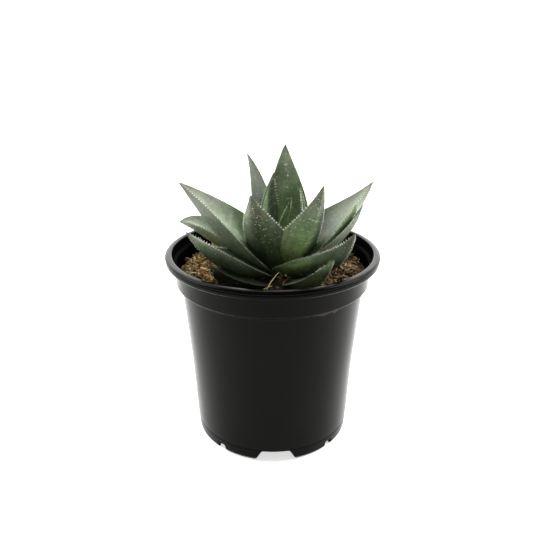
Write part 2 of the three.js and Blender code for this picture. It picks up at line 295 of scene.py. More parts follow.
def leaf_material():
    t = Tree("leaf_skin")
    o = t.where()
    tint = t.attribute("tint")
    local = t.attribute("local").outputs["Vector"]          # across, along, number of the leaf
    blotch = t.noise(o, 130, 4, 0.55, 0.4)
    mottle = t.noise(o, 620, 3, 0.6)
    streak = t.noise(t.scaled(local, (1.3, 0.09, 1.0)), 1.0, 3, 0.6, 0.2)
    fine = t.noise(o, 2600, 2, 0.5)
    c = t.shade(tint.outputs["Color"], 0.68, 1.30, blotch)
    patchy = t.ramp(t.noise(o, 75, 3, 0.6, 0.5), (0.44, 0.0), (0.66, 1.0))
    c = t.mix(t.math("MULTIPLY", patchy, 0.20), c, lin(128, 118, 108))
    c = t.shade(c, 0.86, 1.13, streak)
    c = t.shade(c, 0.74, 1.25, mottle)
    # low cross ridges catch the light
    ripple = t.noise(t.scaled(local, (0.10, 0.95, 1.0), (0, 5, 0)), 1.0, 3, 0.55, 0.5)
    c = t.shade(c, 0.89, 1.11, ripple)
    c = t.shade(c, 0.90, 1.10, t.noise(o, 1350, 2, 0.5))
    # waxy bloom lies in soft patches and is rubbed off in others
    wax = t.math("MULTIPLY", t.ramp(t.noise(t.scaled(local, (0.5, 0.16, 1.0)), 0.8, 4, 0.6, 0.6), (0.38, 0.0), (0.72, 1.0)), tint.outputs["Alpha"])
    c = t.mix(t.math("MULTIPLY", wax, 0.34), c, lin(170, 180, 160))
    # soft pale flecks under the skin, in loose groups
    cell = t.scaled(local, (0.62, 0.36, 1.0), (3, 1, 0))
    fleck = t.math("MULTIPLY", t.ramp(t.cells(cell, 1.0), (0.10, 1.0), (0.30, 0.0)), t.ramp(t.noise(t.scaled(local, (0.16, 0.10, 1.0)), 1.0, 2), (0.46, 0.0), (0.60, 1.0)))
    c = t.mix(t.math("MULTIPLY", fleck, 0.26), c, lin(168, 180, 150))
    # faint darker veins between the streaks
    vein = t.ramp(t.noise(t.scaled(local, (2.6, 0.05, 1.0), (7, 3, 0)), 1.0, 2, 0.5), (0.56, 0.0), (0.68, 1.0))
    c = t.mix(t.math("MULTIPLY", vein, 0.16), c, lin(58, 74, 52))
    t.set(Base_Color=c)
    t.set(Roughness=t.range(t.math("ADD", t.math("MULTIPLY", wax, 0.5), t.math("MULTIPLY", mottle, 0.5)), 0, 1, 0.40, 0.62))
    b = t.bump(fine, 0.22, 0.10)
    b = t.bump(mottle, 0.40, 0.22, b)
    b = t.bump(streak, 0.35, 0.22, b)
    b = t.bump(ripple, 0.55, 0.36, b)
    b = t.bump(fleck, 0.30, 0.10, b)
    t.set(Normal=b)
    s = t.bsdf.inputs
    s["IOR"].default_value = 1.42
    s["Subsurface Weight"].default_value = 0.06
    s["Subsurface Radius"].default_value = (0.9, 1.0, 0.45)
    s["Subsurface Scale"].default_value = 0.0012
    return t.material


def tooth_material():
    t = Tree("leaf_tooth")
    o = t.where()
    c = t.shade(t.attribute("tint").outputs["Color"], 0.86, 1.08, t.noise(o, 900, 2))
    t.set(Base_Color=c, Roughness=t.range(t.noise(o, 1500, 2), 0, 1, 0.32, 0.55), Normal=t.bump(t.noise(o, 3000, 2), 0.3, 0.06))
    s = t.bsdf.inputs
    s["Subsurface Weight"].default_value = 0.12
    s["Subsurface Radius"].default_value = (1.0, 0.9, 0.6)
    s["Subsurface Scale"].default_value = 0.0005
    return t.material


def pot_material(name="pot_plastic", inside=False):
    t = Tree(name)
    o = t.where()
    grain = t.noise(o, 1900, 2, 0.55)
    cloud = t.noise(o, 34, 4, 0.6, 0.3)
    flow = t.noise(t.scaled(o, (260, 260, 9)), 1.0, 3, 0.6)
    c = t.mix(cloud, lin(1, 1, 1), lin(4, 4, 4))
    dust = t.math("MULTIPLY", t.ramp(t.noise(o, 210, 5, 0.7), (0.60, 0.0), (0.76, 1.0)), 0.005)
    c = t.mix(dust, c, lin(120, 116, 106))
    t.set(Base_Color=c)
    # the inside copy is rougher and reflects almost nothing (Specular IOR Level 0.01 below): painted shade that keeps
    # the inner wall dark
    low, high = (0.45, 0.60) if inside else (0.17, 0.25)
    r = t.math("ADD", t.range(cloud, 0.25, 0.75, low, high), t.math("MULTIPLY", t.math("SUBTRACT", flow, 0.5), 0.08))
    t.set(Roughness=r)
    # a few fine handling scuffs
    scuff = t.ramp(t.noise(t.scaled(o, (90, 700, 420)), 1.0, 2, 0.5, 1.2), (0.66, 0.0), (0.72, 1.0))
    b = t.bump(grain, 0.16, 0.035)
    b = t.bump(flow, 0.16, 0.07, b)
    b = t.bump(scuff, 0.12, 0.03, b)
    t.set(Normal=b)
    s = t.bsdf.inputs
    s["IOR"].default_value = 1.32
    s["Specular Tint"].default_value = (0.99, 1.02, 0.87, 1)
    s["Specular IOR Level"].default_value = 0.01 if inside else 0.13
    return t.material


def chaff_material(name, light, dark, rough=0.7, grain=2200.0):
    t = Tree(name)
    o = t.where()
    tint = t.attribute("tint").outputs["Color"]
    local = t.attribute("local").outputs["Vector"]           # across, along, number of the piece
    ribs = t.noise(t.scaled(local, (7.0, 0.55, 1.0)), 1.0, 2, 0.5)
    spots = t.noise(o, 1300, 3, 0.6)
    c = t.shade(tint, dark, light, ribs)
    c = t.shade(c, 0.78, 1.18, spots)
    t.set(Base_Color=c, Roughness=t.range(spots, 0, 1, rough - 0.15, rough + 0.12))
    b = t.bump(t.noise(o, grain, 2), 0.4, 0.08)
    t.set(Normal=t.bump(ribs, 0.6, 0.18, b))
    s = t.bsdf.inputs
    s["Specular IOR Level"].default_value = 0.35
    return t.material


def earth_material():
    t = Tree("mix_ground")
    o = t.where()
    a = t.noise(o, 420, 5, 0.65, 0.3)
    p = t.cells(o, 520)
    c = t.ramp(a, (0.25, lin(12, 8, 5)), (0.5, lin(30, 20, 12)), (0.78, lin(72, 52, 30)))
    c = t.shade(c, 0.55, 1.15, p)
    t.set(Base_Color=c, Roughness=t.range(a, 0, 1, 0.82, 0.98))
    t.set(Normal=t.bump(a, 0.8, 0.9, t.bump(p, 0.6, 0.5)))
    return t.material


def stem_material():
    t = Tree("stem_skin")
    o = t.where()
    a = t.noise(o, 480, 4, 0.6)
    c = t.ramp(a, (0.25, lin(84, 90, 52)), (0.55, lin(128, 132, 86)), (0.8, lin(150, 140, 100)))
    t.set(Base_Color=c, Roughness=t.range(a, 0, 1, 0.5, 0.8))
    t.set(Normal=t.bump(t.noise(t.scaled(o, (400, 400, 1800)), 1.0, 3), 0.5, 0.2))
    return t.material


def floor_material():
    t = Tree("floor_paper")
    n = t.noise(t.where(), 40, 3)
    t.set(Base_Color=t.ramp(n, (0.2, lin(243, 243, 241)), (0.8, lin(248, 248, 247))), Roughness=t.range(n, 0, 1, 0.85, 0.95))
    s = t.bsdf.inputs
    s["Specular IOR Level"].default_value = 0.1
    # painted light: the paper glows like a lamp, none in front of y = -0.22 m, full strength behind y = -0.13 m
    s["Emission Color"].default_value = (1.0, 1.0, 0.995, 1)
    t.set(Emission_Strength=t.range(t.split(t.where(), 1), -0.22, -0.13, 0.0, 0.65))
    return t.material


SKIN, TOOTH = leaf_material(), tooth_material()

# ------------------------------------------------------------------ leaves
# name, azimuth, four points of the upper face's centre curve, half width, station of the widest section, base width
# ratio, taper power, thickness, trough depth ratio, roll at base, roll at tip
LEAVES = [
    ("leaf_01", 303.8, [[4.34, -0.25, 101.16], [4.32, -0.91, 109.4], [7.35, -3.83, 116.72], [8.69, -6.4, 124.18]], 3.37, 0.239, 0.8, 1.5, 2.5, 0.164, 17.1, 4.9),
    ("leaf_02", 21.9, [[6.28, 2.12, 98.14], [14.97, 5.05, 106.49], [15.56, 4.98, 117.09], [12.42, 4.8, 128.16]], 4.42, 0.217, 0.8, 1.5, 2.95, 0.05, -12.2, -21.1),
    ("leaf_03", 144.3, [[0.66, 3.04, 97.81], [-4.73, 7.7, 107.53], [-3.36, 8.69, 118.74], [-1.04, 9.0, 129.8]], 6.3, 0.27, 0.8, 1.5, 3.5, 0.118, -9.4, -9.5),
    ("leaf_04", 120.8, [[1.96, 3.58, 99.22], [-1.67, 8.39, 109.84], [-2.31, 9.51, 121.51], [0.61, 8.81, 133.36]], 5.78, 0.237, 0.8, 1.5, 3.5, 0.113, 4.6, -0.7),
    ("leaf_05", 77.8, [[4.34, 4.91, 98.5], [8.97, 10.67, 113.66], [6.24, 11.57, 130.27], [6.03, 11.99, 146.38]], 11.73, 0.223, 0.8, 1.5, 5.0, 0.125, 11.2, -14.1),
    ("leaf_06", 304.7, [[6.35, -3.11, 92.52], [11.67, -11.69, 105.99], [19.63, -18.55, 120.02], [22.18, -24.75, 135.68]], 12.22, 0.206, 0.8, 1.5, 5.52, 0.099, -21.6, 9.1),
    ("leaf_07", 135.6, [[-0.07, 4.5, 95.27], [-6.48, 10.48, 109.21], [-5.62, 12.2, 127.02], [-12.9, 17.96, 140.77]], 9.93, 0.219, 0.8, 1.5, 5.0, 0.12, 9.9, 10.0),
    ("leaf_08", 244.5, [[1.34, -3.51, 90.88], [-0.91, -7.19, 106.73], [-7.39, -21.1, 116.17], [-9.36, -26.54, 131.1]], 13.54, 0.17, 0.8, 1.5, 5.0, 0.047, -1.2, 9.4),
    ("leaf_09", 0.9, [[8.5, 1.08, 92.43], [22.83, 1.23, 103.84], [37.22, 0.6, 115.97], [47.76, 0.55, 131.21]], 12.91, 0.297, 0.8, 1.5, 7.95, 0.22, 29.4, -1.6),
    ("leaf_10", 190.6, [[-1.42, 0.08, 89.31], [-16.41, -3.06, 102.59], [-28.94, -6.38, 119.09], [-43.47, -9.24, 132.88]], 14.89, 0.301, 0.8, 1.5, 7.61, 0.359, -21.0, -7.2),
    ("leaf_11", 92, [[3.33, 6.0, 92.5], [1.89, 18.84, 99.23], [0.46, 30.52, 109.27], [-0.82, 38.87, 122.0]], 11.0, 0.26, 0.8, 1.5, 5.6, 0.2, 0, 0.0),
    ("leaf_12", 42, [[7.59, 4.68, 90.5], [16.31, 12.53, 94.1], [24.13, 19.58, 100.9], [29.51, 24.42, 110.5]], 11.0, 0.26, 0.8, 1.5, 5.6, 0.2, 6, -3.0),
    ("leaf_13", 350.4, [[9.42, 0.0, 90.44], [22.02, -2.32, 98.83], [36.13, -5.04, 106.24], [42.4, -6.02, 121.6]], 10.56, 0.27, 0.8, 1.5, 5.29, 0.124, 8.6, -3.1),
    ("leaf_14", 315.8, [[-1.37, -0.35, 84.58], [21.0, -13.14, 95.96], [32.48, -25.83, 97.92], [35.9, -32.05, 116.17]], 10.14, 0.287, 0.449, 1.5, 6.58, 0.376, 7.8, -26.0),
    ("leaf_15", 155, [[-1.48, 3.32, 91.0], [-13.02, 8.7, 95.75], [-23.49, 13.58, 103.75], [-30.94, 17.06, 114.5]], 11.0, 0.26, 0.8, 1.5, 5.6, 0.2, -6, 3.0),
    ("leaf_16", 112, [[1.25, 6.56, 89.5], [-3.95, 19.43, 94.25], [-8.72, 31.24, 102.25], [-12.23, 39.94, 113.0]], 10.5, 0.26, 0.8, 1.5, 5.6, 0.2, 5, -2.5),
    ("leaf_17", 213.7, [[-1.49, -2.33, 87.05], [-14.81, -11.33, 94.47], [-28.8, -20.82, 101.58], [-38.58, -27.71, 115.5]], 10.57, 0.299, 0.8, 1.5, 7.42, 0.157, -20.8, 17.6),
    ("leaf_18", 63, [[6.22, 6.35, 89.0], [12.08, 17.83, 92.44], [17.4, 28.27, 99.06], [21.21, 35.75, 108.5]], 10.5, 0.26, 0.8, 1.5, 5.4, 0.2, -5, 2.5),
    ("leaf_19", 176.5, [[-2.49, 1.37, 89.71], [-17.9, 1.69, 93.86], [-29.53, 5.13, 106.88], [-45.73, 2.51, 109.71]], 9.47, 0.463, 0.8, 4.5, 4.55, 0.396, -8.1, 4.4),
    ("leaf_20", 302.3, [[6.7, -4.07, 85.37], [14.81, -17.46, 86.11], [23.12, -27.47, 92.86], [26.24, -36.37, 105.62]], 9.48, 0.299, 0.8, 1.5, 5.88, 0.107, 19.3, -1.6),
    ("leaf_21", 22, [[9.53, 3.43, 86.5], [20.1, 7.71, 88.95], [29.55, 11.52, 93.55], [35.95, 14.11, 101.5]], 9.5, 0.26, 0.8, 1.5, 4.6, 0.2, 0, 0.0),
    ("leaf_22", 229.8, [[-0.37, -3.58, 84.77], [-11.07, -15.42, 87.39], [-21.59, -28.11, 89.96], [-27.77, -37.03, 104.09]], 10.95, 0.313, 0.8, 1.5, 8.48, 0.179, -18.5, -6.1),
    ("leaf_23", 134, [[-1.02, 5.68, 86.5], [-10.77, 15.78, 89.28], [-19.74, 25.07, 94.22], [-26.37, 31.93, 104.0]], 9.5, 0.26, 0.8, 1.5, 4.8, 0.2, 6, -3.0),
    ("leaf_24", 85, [[4.07, 7.48, 85.5], [5.32, 21.8, 87.61], [6.47, 35.0, 91.39], [7.33, 44.83, 101.0]], 9.5, 0.26, 0.8, 1.5, 4.8, 0.2, -6, 3.0),
]
KEEL = 1.5

# how each leaf is dressed: bloom of the upper and lower face, brown cast of the tip, yellow cast of the base,
# tooth (spacing, height), raised spots on the upper and lower face (count, radius), lower face banded or not,
# depth of the green on the upper and lower face, a factor that also carries painted light and shade for the whole face
DRESS = {
    "leaf_01": (0.1, 0.1, 0.2, 0.6, (1.0, 0.6), (6, 0.22), (8, 0.24), False, 1.1, 1.1),
    "leaf_02": (0.1, 0.1, 0.2, 0.4, (1.15, 0.9), (24, 0.24), (14, 0.28), False, 1.0, 1.0),
    "leaf_03": (0.12, 0.12, 0.2, 0.5, (1.2, 0.8), (34, 0.26), (20, 0.28), False, 1.25, 1.25),
    "leaf_04": (0.35, 0.12, 0.2, 0.3, (1.35, 1.0), (34, 0.26), (18, 0.28), False, 1.0, 1.0),
    "leaf_05": (0.2, 0.35, 1.2, 0.2, (1.2, 0.8), (12, 0.26), (34, 0.34), False, 1.45, 1.0),
    "leaf_06": (0.25, 0.28, 0.9, 0.7, (1.5, 0.9), (10, 0.3), (60, 0.28), True, 1.0, 1.25),
    "leaf_07": (0.35, 0.4, 0.75, 0.1, (1.5, 0.4), (5, 0.22), (26, 0.3), False, 0.51, 0.8),
    "leaf_08": (0.25, 0.22, 0.85, 0.25, (1.5, 0.9), (8, 0.3), (52, 0.28), True, 1.0, 0.7),
    "leaf_09": (0.4, 0.75, 0.75, 0.1, (1.2, 0.5), (5, 0.24), (18, 0.3), False, 0.79, 1.05),
    "leaf_10": (0.8, 0.55, 0.85, 0.25, (1.2, 0.7), (4, 0.22), (10, 0.28), False, 0.84, 0.7),
    "leaf_11": (0.55, 0.40, 0.5, 0.2, (1.4, 0.75), (10, 0.28), (30, 0.32), True, 1.0, 1.0),
    "leaf_12": (0.55, 0.40, 0.5, 0.2, (1.4, 0.80), (10, 0.28), (30, 0.32), True, 1.0, 1.0),
    "leaf_13": (0.65, 0.7, 0.5, 0.2, (1.5, 0.5), (8, 0.24), (14, 0.3), False, 1.2, 1.0),
    "leaf_14": (0.3, 0.2, 0.15, 0.45, (1.2, 1.1), (10, 0.28), (24, 0.26), False, 0.9, 0.72),
    "leaf_15": (0.55, 0.40, 0.5, 0.2, (1.4, 0.80), (10, 0.28), (30, 0.32), True, 1.0, 1.0),
    "leaf_16": (0.50, 0.38, 0.5, 0.2, (1.4, 0.80), (10, 0.28), (30, 0.32), True, 1.0, 1.0),
    "leaf_17": (0.4, 0.38, 0.2, 0.35, (1.1, 1.15), (8, 0.26), (26, 0.26), False, 1.0, 0.72),
    "leaf_18": (0.50, 0.38, 0.5, 0.2, (1.4, 0.85), (10, 0.28), (30, 0.32), True, 1.0, 1.0),
    "leaf_19": (0.72, 0.4, 1.0, 0.25, (1.4, 0.65), (6, 0.26), (14, 0.28), False, 0.82, 1.1),
    "leaf_20": (0.15, 0.15, 0.3, 0.4, (1.0, 1.15), (14, 0.3), (60, 0.3), False, 0.9, 1.9),
    "leaf_21": (0.40, 0.30, 0.6, 0.3, (1.4, 0.80), (10, 0.28), (28, 0.32), False, 1.0, 1.0),
    "leaf_22": (0.0, 0.0, 0.3, 0.3, (1.3, 0.9), (12, 0.28), (26, 0.32), False, 0.35, 0.28),
    "leaf_23": (0.40, 0.30, 0.6, 0.3, (1.4, 0.80), (10, 0.28), (28, 0.32), False, 1.0, 1.0),
    "leaf_24": (0.40, 0.30, 0.7, 0.3, (1.4, 0.80), (10, 0.28), (28, 0.32), False, 1.0, 1.0),
}

# lighter and darker stretches of the skin, partly the skin's own tone and partly painted light and shade (lit flanks
# lightened, shaded stretches darkened): (station, reach along), (place across, reach across), how much lighter
SKIN_TONE_AND_PAINTED_LIGHT = {
    ("leaf_05", False): [((0.88, 0.08), (0.0, 2.0), 1.35), ((0.30, 0.12), (0.0, 2.0), 1.15), ((0.93, 0.05), (-0.9, 0.5), 0.6)],
    ("leaf_07", False): [((0.75, 0.5), (0.0, 2.0), 0.80)],
    ("leaf_04", False): [((0.50, 0.28), (0.70, 0.50), 6.5), ((0.60, 0.5), (-0.20, 0.5), 0.38)],
    ("leaf_03", False): [((0.60, 0.5), (0.0, 3.0), 1.9)],
    ("leaf_02", False): [((0.60, 0.5), (0.0, 0.6), 0.35)],
    ("leaf_01", False): [((0.15, 0.35), (0.0, 3.0), 1.8), ((0.7, 0.3), (0.0, 3.0), 0.6)],
    ("leaf_10", False): [((0.38, 0.14), (-0.6, 1.0), 2.0), ((0.99, 0.12), (0.0, 2.0), 0.42)],
    ("leaf_10", True): [((0.98, 0.14), (0.0, 2.0), 0.5)],
    ("leaf_19", False): [((0.80, 0.4), (0.0, 2.0), 1.12)],
    ("leaf_17", True): [((0.92, 0.12), (0.7, 0.8), 1.9), ((0.34, 0.16), (0.6, 0.7), 2.1), ((0.60, 0.5), (-0.1, 0.4), 0.6)],
    ("leaf_08", True): [((0.62, 0.35), (-0.95, 0.32), 2.1), ((0.30, 0.20), (0.1, 0.6), 1.15), ((0.60, 0.2), (-0.25, 0.25), 0.8)],
    ("leaf_06", True): [((0.88, 0.14), (-0.5, 1.2), 0.48), ((0.36, 0.16), (-0.15, 0.8), 2.3), ((0.60, 0.15), (-0.5, 0.5), 1.2), ((0.55, 0.3), (0.70, 0.42), 0.22)],
    ("leaf_09", False): [((0.40, 0.16), (0.0, 1.2), 0.37), ((0.62, 0.16), (0.4, 0.9), 0.92), ((0.99, 0.08), (0.0, 2.0), 0.4)],
    ("leaf_09", True): [((0.48, 0.26), (-0.9, 0.4), 2.4), ((0.60, 0.13), (-0.65, 0.45), 3.6), ((0.98, 0.12), (0.0, 3.0), 0.5)],
    ("leaf_13", False): [((0.74, 0.24), (0.80, 0.6), 1.6), ((0.99, 0.12), (0.0, 3.0), 0.35)],
    ("leaf_13", True): [((0.99, 0.08), (0.0, 3.0), 0.4)],
    ("leaf_14", True): [((0.92, 0.14), (-0.5, 1.5), 0.40), ((0.36, 0.20), (-0.95, 0.26), 10.0), ((0.30, 0.3), (-0.35, 0.34), 0.30), ((0.66, 0.16), (-0.7, 0.4), 1.2),
                        ((0.02, 0.14), (0.6, 1.2), 2.4)],
    ("leaf_20", True): [((0.60, 0.5), (-0.7, 0.5), 1.5)],
}

# upper faces that are greener or greyer than the rest
HUES = {"leaf_07": (0.66, 0.88, 0.58), "leaf_09": (0.83, 1.0, 0.64), "leaf_19": (0.98, 1.05, 0.96), "leaf_10": (0.98, 1.0, 0.96)}

# single raised spots: station, place across, radius, length over width, contrast; under says which face
SPOTS = {
    ("leaf_05", False): [
        (0.785, 0.03, 0.52, 1.9, 0.75), (0.74, 0.02, 0.30, 1.6, 0.5), (0.68, -0.11, 0.46, 1.2, 0.85), (0.56, -0.03, 0.48, 1.1, 0.75), (0.445, -0.05, 0.30, 2.6, 0.7),
        (0.452, -0.21, 0.26, 2.4, 0.6), (0.615, -0.67, 0.26, 1.4, 0.6), (0.665, 0.71, 0.28, 1.4, 0.6), (0.46, 0.25, 0.26, 1.5, 0.5), (0.535, -0.65, 0.24, 1.4, 0.5),
        (0.715, 0.45, 0.24, 1.4, 0.5), (0.365, -0.25, 0.28, 1.5, 0.5), (0.32, 0.07, 0.28, 1.6, 0.5)],
    ("leaf_06", True): [
        (0.655, -0.41, 0.24, 2.8, 0.7), (0.645, -0.17, 0.24, 3.0, 0.8), (0.628, 0.13, 0.24, 3.0, 0.8), (0.61, 0.41, 0.22, 2.2, 0.6), (0.615, -0.78, 0.24, 1.6, 0.6),
        (0.525, -0.41, 0.28, 1.8, 0.6), (0.52, -0.15, 0.26, 2.4, 0.6), (0.36, -0.30, 0.24, 2.4, 0.8), (0.375, -0.15, 0.24, 2.8, 0.85), (0.382, 0.05, 0.24, 2.8, 0.85),
        (0.365, 0.26, 0.24, 2.6, 0.8), (0.335, 0.45, 0.22, 2.2, 0.7), (0.465, -0.78, 0.28, 1.5, 0.7), (0.43, -0.69, 0.28, 1.6, 0.7), (0.765, -0.70, 0.22, 1.5, 0.5),
        (0.805, -0.51, 0.22, 1.6, 0.5), (0.46, 0.57, 0.22, 1.8, 0.5), (0.45, 0.33, 0.26, 2.4, 0.6), (0.53, -0.75, 0.26, 1.6, 0.6), (0.265, 0.05, 0.24, 2.2, 0.6),
        (0.28, -0.22, 0.22, 2.0, 0.5), (0.72, 0.05, 0.22, 2.2, 0.5)],
    ("leaf_08", True): [
        (0.76, 0.15, 0.28, 1.2, 0.75), (0.66, 0.17, 0.32, 1.2, 0.85), (0.622, 0.11, 0.24, 1.4, 0.6), (0.605, 0.39, 0.28, 1.4, 0.8), (0.56, -0.21, 0.28, 1.3, 0.7),
        (0.515, -0.15, 0.26, 1.3, 0.6), (0.445, 0.35, 0.24, 2.0, 0.7), (0.41, 0.23, 0.22, 2.2, 0.6), (0.415, -0.13, 0.22, 2.4, 0.5), (0.40, -0.03, 0.22, 2.4, 0.5),
        (0.28, 0.21, 0.24, 2.0, 0.5), (0.695, -0.33, 0.22, 1.3, 0.5), (0.735, 0.47, 0.24, 1.3, 0.5), (0.345, 0.39, 0.22, 2.0, 0.5), (0.45, 0.61, 0.22, 1.6, 0.5)],
    ("leaf_09", False): [(0.53, 0.67, 0.30, 1.4, 0.5), (0.495, 0.21, 0.28, 1.4, 0.5), (0.665, 0.55, 0.24, 1.4, 0.4)],
    ("leaf_10", False): [(0.57, -0.67, 0.26, 1.3, 0.4), (0.47, -0.79, 0.26, 1.3, 0.4)],
}


def width_profile(u, widest, base, power):
    x = np.clip((u - widest) / (1 - widest), 0, 1)
    return np.where(u < widest, base + (1 - base) * np.sin(np.pi / 2 * np.clip(u / widest, 0, 1)), 1 - x ** power)


class Leaf:
    def __init__(self, row, number):
        (self.name, self.azimuth, p, self.half, self.widest, self.base, self.power, self.thick, self.trough,
         self.roll0, self.roll1) = row
        self.p = np.array(p, float)
        self.number = number
        u = np.linspace(0, 1, 241)
        c = self.frames(u)[0]
        self.fine_u, self.arc = u, np.concatenate([[0], np.cumsum(np.linalg.norm(np.diff(c, axis=0), axis=1))])
        self.length = self.arc[-1]
        rng = np.random.default_rng(100 + number)
        self.phase = rng.uniform(0, 2 * np.pi, 6)

    def frames(self, u):
        u = np.atleast_1d(np.asarray(u, float))
        v = 1 - u
        q = self.p
        c = (v ** 3)[:, None] * q[0] + (3 * u * v * v)[:, None] * q[1] + (3 * u * u * v)[:, None] * q[2] + (u ** 3)[:, None] * q[3]
        g = (3 * v * v)[:, None] * (q[1] - q[0]) + (6 * u * v)[:, None] * (q[2] - q[1]) + (3 * u * u)[:, None] * (q[3] - q[2])
        g = unit(g)
        a = math.radians(self.azimuth)
        across = np.array([-math.sin(a), math.cos(a), 0.0])
        n = unit(np.cross(g, across))
        s = np.cross(n, g)
        r = np.radians(self.roll0 + (self.roll1 - self.roll0) * u)[:, None]
        side = np.cos(r) * s + np.sin(r) * n
        normal = np.cos(r) * n - np.sin(r) * s
        return c, g, side, normal

    def widths(self, u):
        return (self.half * width_profile(u, self.widest, self.base, self.power),
                self.thick * width_profile(u, self.widest, 0.8, 1.6))

    def wave(self, u, v, lower):
        """slow unevenness of the faces, nothing at the margins"""
        k = self.phase
        h = np.sin(9 * u + 2.2 * v + k[0]) * 0.5 + np.sin(17 * u - 3.1 * v + k[1]) * 0.3 + np.sin(5 * v + 4 * u + k[2]) * 0.35
        return h * (0.20 if not lower else 0.16) * (1 - v * v) * np.clip(self.half / 11, 0.2, 1) * np.sin(np.pi * np.clip(u, 0, 1)) ** 0.5

    def point(self, u, v, lower=False, wave=True):
        u, v = np.broadcast_arrays(np.asarray(u, float), np.asarray(v, float))
        shape = u.shape
        u, v = u.ravel(), v.ravel()
        c, g, s, n = self.frames(u)
        w, t = self.widths(u)
        y = self.trough * w * v * v
        if lower:
            y = y - t * (1 - np.abs(v) ** KEEL)
        if wave:
            y = y + self.wave(u, v, lower) * (-1 if lower else 1)
        return (c + s * (v * w)[:, None] + n * y[:, None]).reshape(shape + (3,))

    def normal(self, u, v, lower=False):
        d = 0.004
        a = self.point(np.clip(u + d, 0, 1), v, lower) - self.point(np.clip(u - d, 0, 1), v, lower)
        b = self.point(u, np.clip(v + 0.02, -1, 1), lower) - self.point(u, np.clip(v - 0.02, -1, 1), lower)
        n = unit(np.cross(a, b))
        reference = self.frames(np.ravel(u))[3].reshape(n.shape)
        n = np.where((np.sum(n * reference, -1) < 0)[..., None], -n, n)
        return -n if lower else n

    def body(self, stations, span, grow=0.0):
        """closed keeled blade; faces point out"""
        u = np.linspace(0, 1, stations + 1)[:-1]
        u = np.append(u, 1 - 0.35 / stations)
        m = len(u)
        a = np.cos(np.pi * np.arange(span + 1) / span)
        b = a[::-1][1:-1]
        c, g, s, n = self.frames(u)
        w, t = self.widths(u)
        rings = []
        for v, lower in ((a, False), (b, True)):
            vv = np.broadcast_to(v, (m, len(v)))
            uu = np.broadcast_to(u[:, None], vv.shape)
            edge = (np.abs(vv) > 0.9999)
            x = vv * w[:, None]
            y = self.trough * w[:, None] * vv * vv
            if lower:
                y = y - t[:, None] * (1 - np.abs(vv) ** KEEL)
            if grow:
                x = x + np.where(edge, 2 * grow * np.sign(vv), 0)
                y = y + np.where(edge, grow * (0.4 + 4 * self.trough), -grow if lower else grow)
            else:
                y = y + self.wave(uu, vv, lower) * (-1 if lower else 1)
            rings.append(c[:, None] + s[:, None] * x[..., None] + n[:, None] * y[..., None])
        ring = np.concatenate(rings, 1)
        if grow:
            ring[0] -= g[0] * grow
        k = ring.shape[1]
        verts = ring.reshape(-1, 3)
        end = self.frames([1.0])
        tip = end[0][0] + end[1][0] * grow * 2
        cap = c[0] - n[0] * self.thick * 0.3 - g[0] * grow
        verts = np.vstack([verts, tip, cap])
        i, j = np.meshgrid(np.arange(m - 1), np.arange(k), indexing="ij")
        p, q = (i * k + j).ravel(), (i * k + (j + 1) % k).ravel()
        quads = np.stack([p, q, q + k, p + k], 1)
        j = np.arange(k)
        l = (m - 1) * k
        tris = np.vstack([np.stack([l + j, l + (j + 1) % k, np.full(k, m * k)], 1),
                          np.stack([j, np.full(k, m * k + 1), (j + 1) % k], 1)])
        return verts, quads, tris

    def locate(self, x):
        """u, v and depth below the upper face for points near the leaf"""
        u = self.fine_u[::2]
        c, g, s, n = self.frames(u)
        best = np.full(len(x), 1e9)
        pick = np.zeros(len(x), int)
        off = np.zeros(len(x))
        for i in range(len(u)):
            d = x - c[i]
            along = d @ g[i]
            cost = np.abs(along) + 0.03 * np.linalg.norm(d, axis=1)
            better = cost < best
            best[better], pick[better], off[better] = cost[better], i, along[better]
        uu = np.clip(u[pick] + off / self.length, 0, 1)
        c, g, s, n = self.frames(uu)
        d = x - c
        a, y = np.einsum("ij,ij->i", d, s), np.einsum("ij,ij->i", d, n)
        w, t = self.widths(uu)
        v = np.clip(a / np.maximum(w, 0.05), -1.2, 1.2)
        depth = self.trough * w * v * v - y
        return uu, v, depth, a, np.interp(uu, self.fine_u, self.arc), t


GREEN_UP, GREEN_LOW = lin(74, 98, 62), lin(72, 96, 56)
BLOOM = lin(158, 168, 148)
BROWN, YELLOW, PALE, TIP = lin(112, 106, 94), lin(134, 150, 84), lin(186, 194, 166), lin(62, 64, 48)


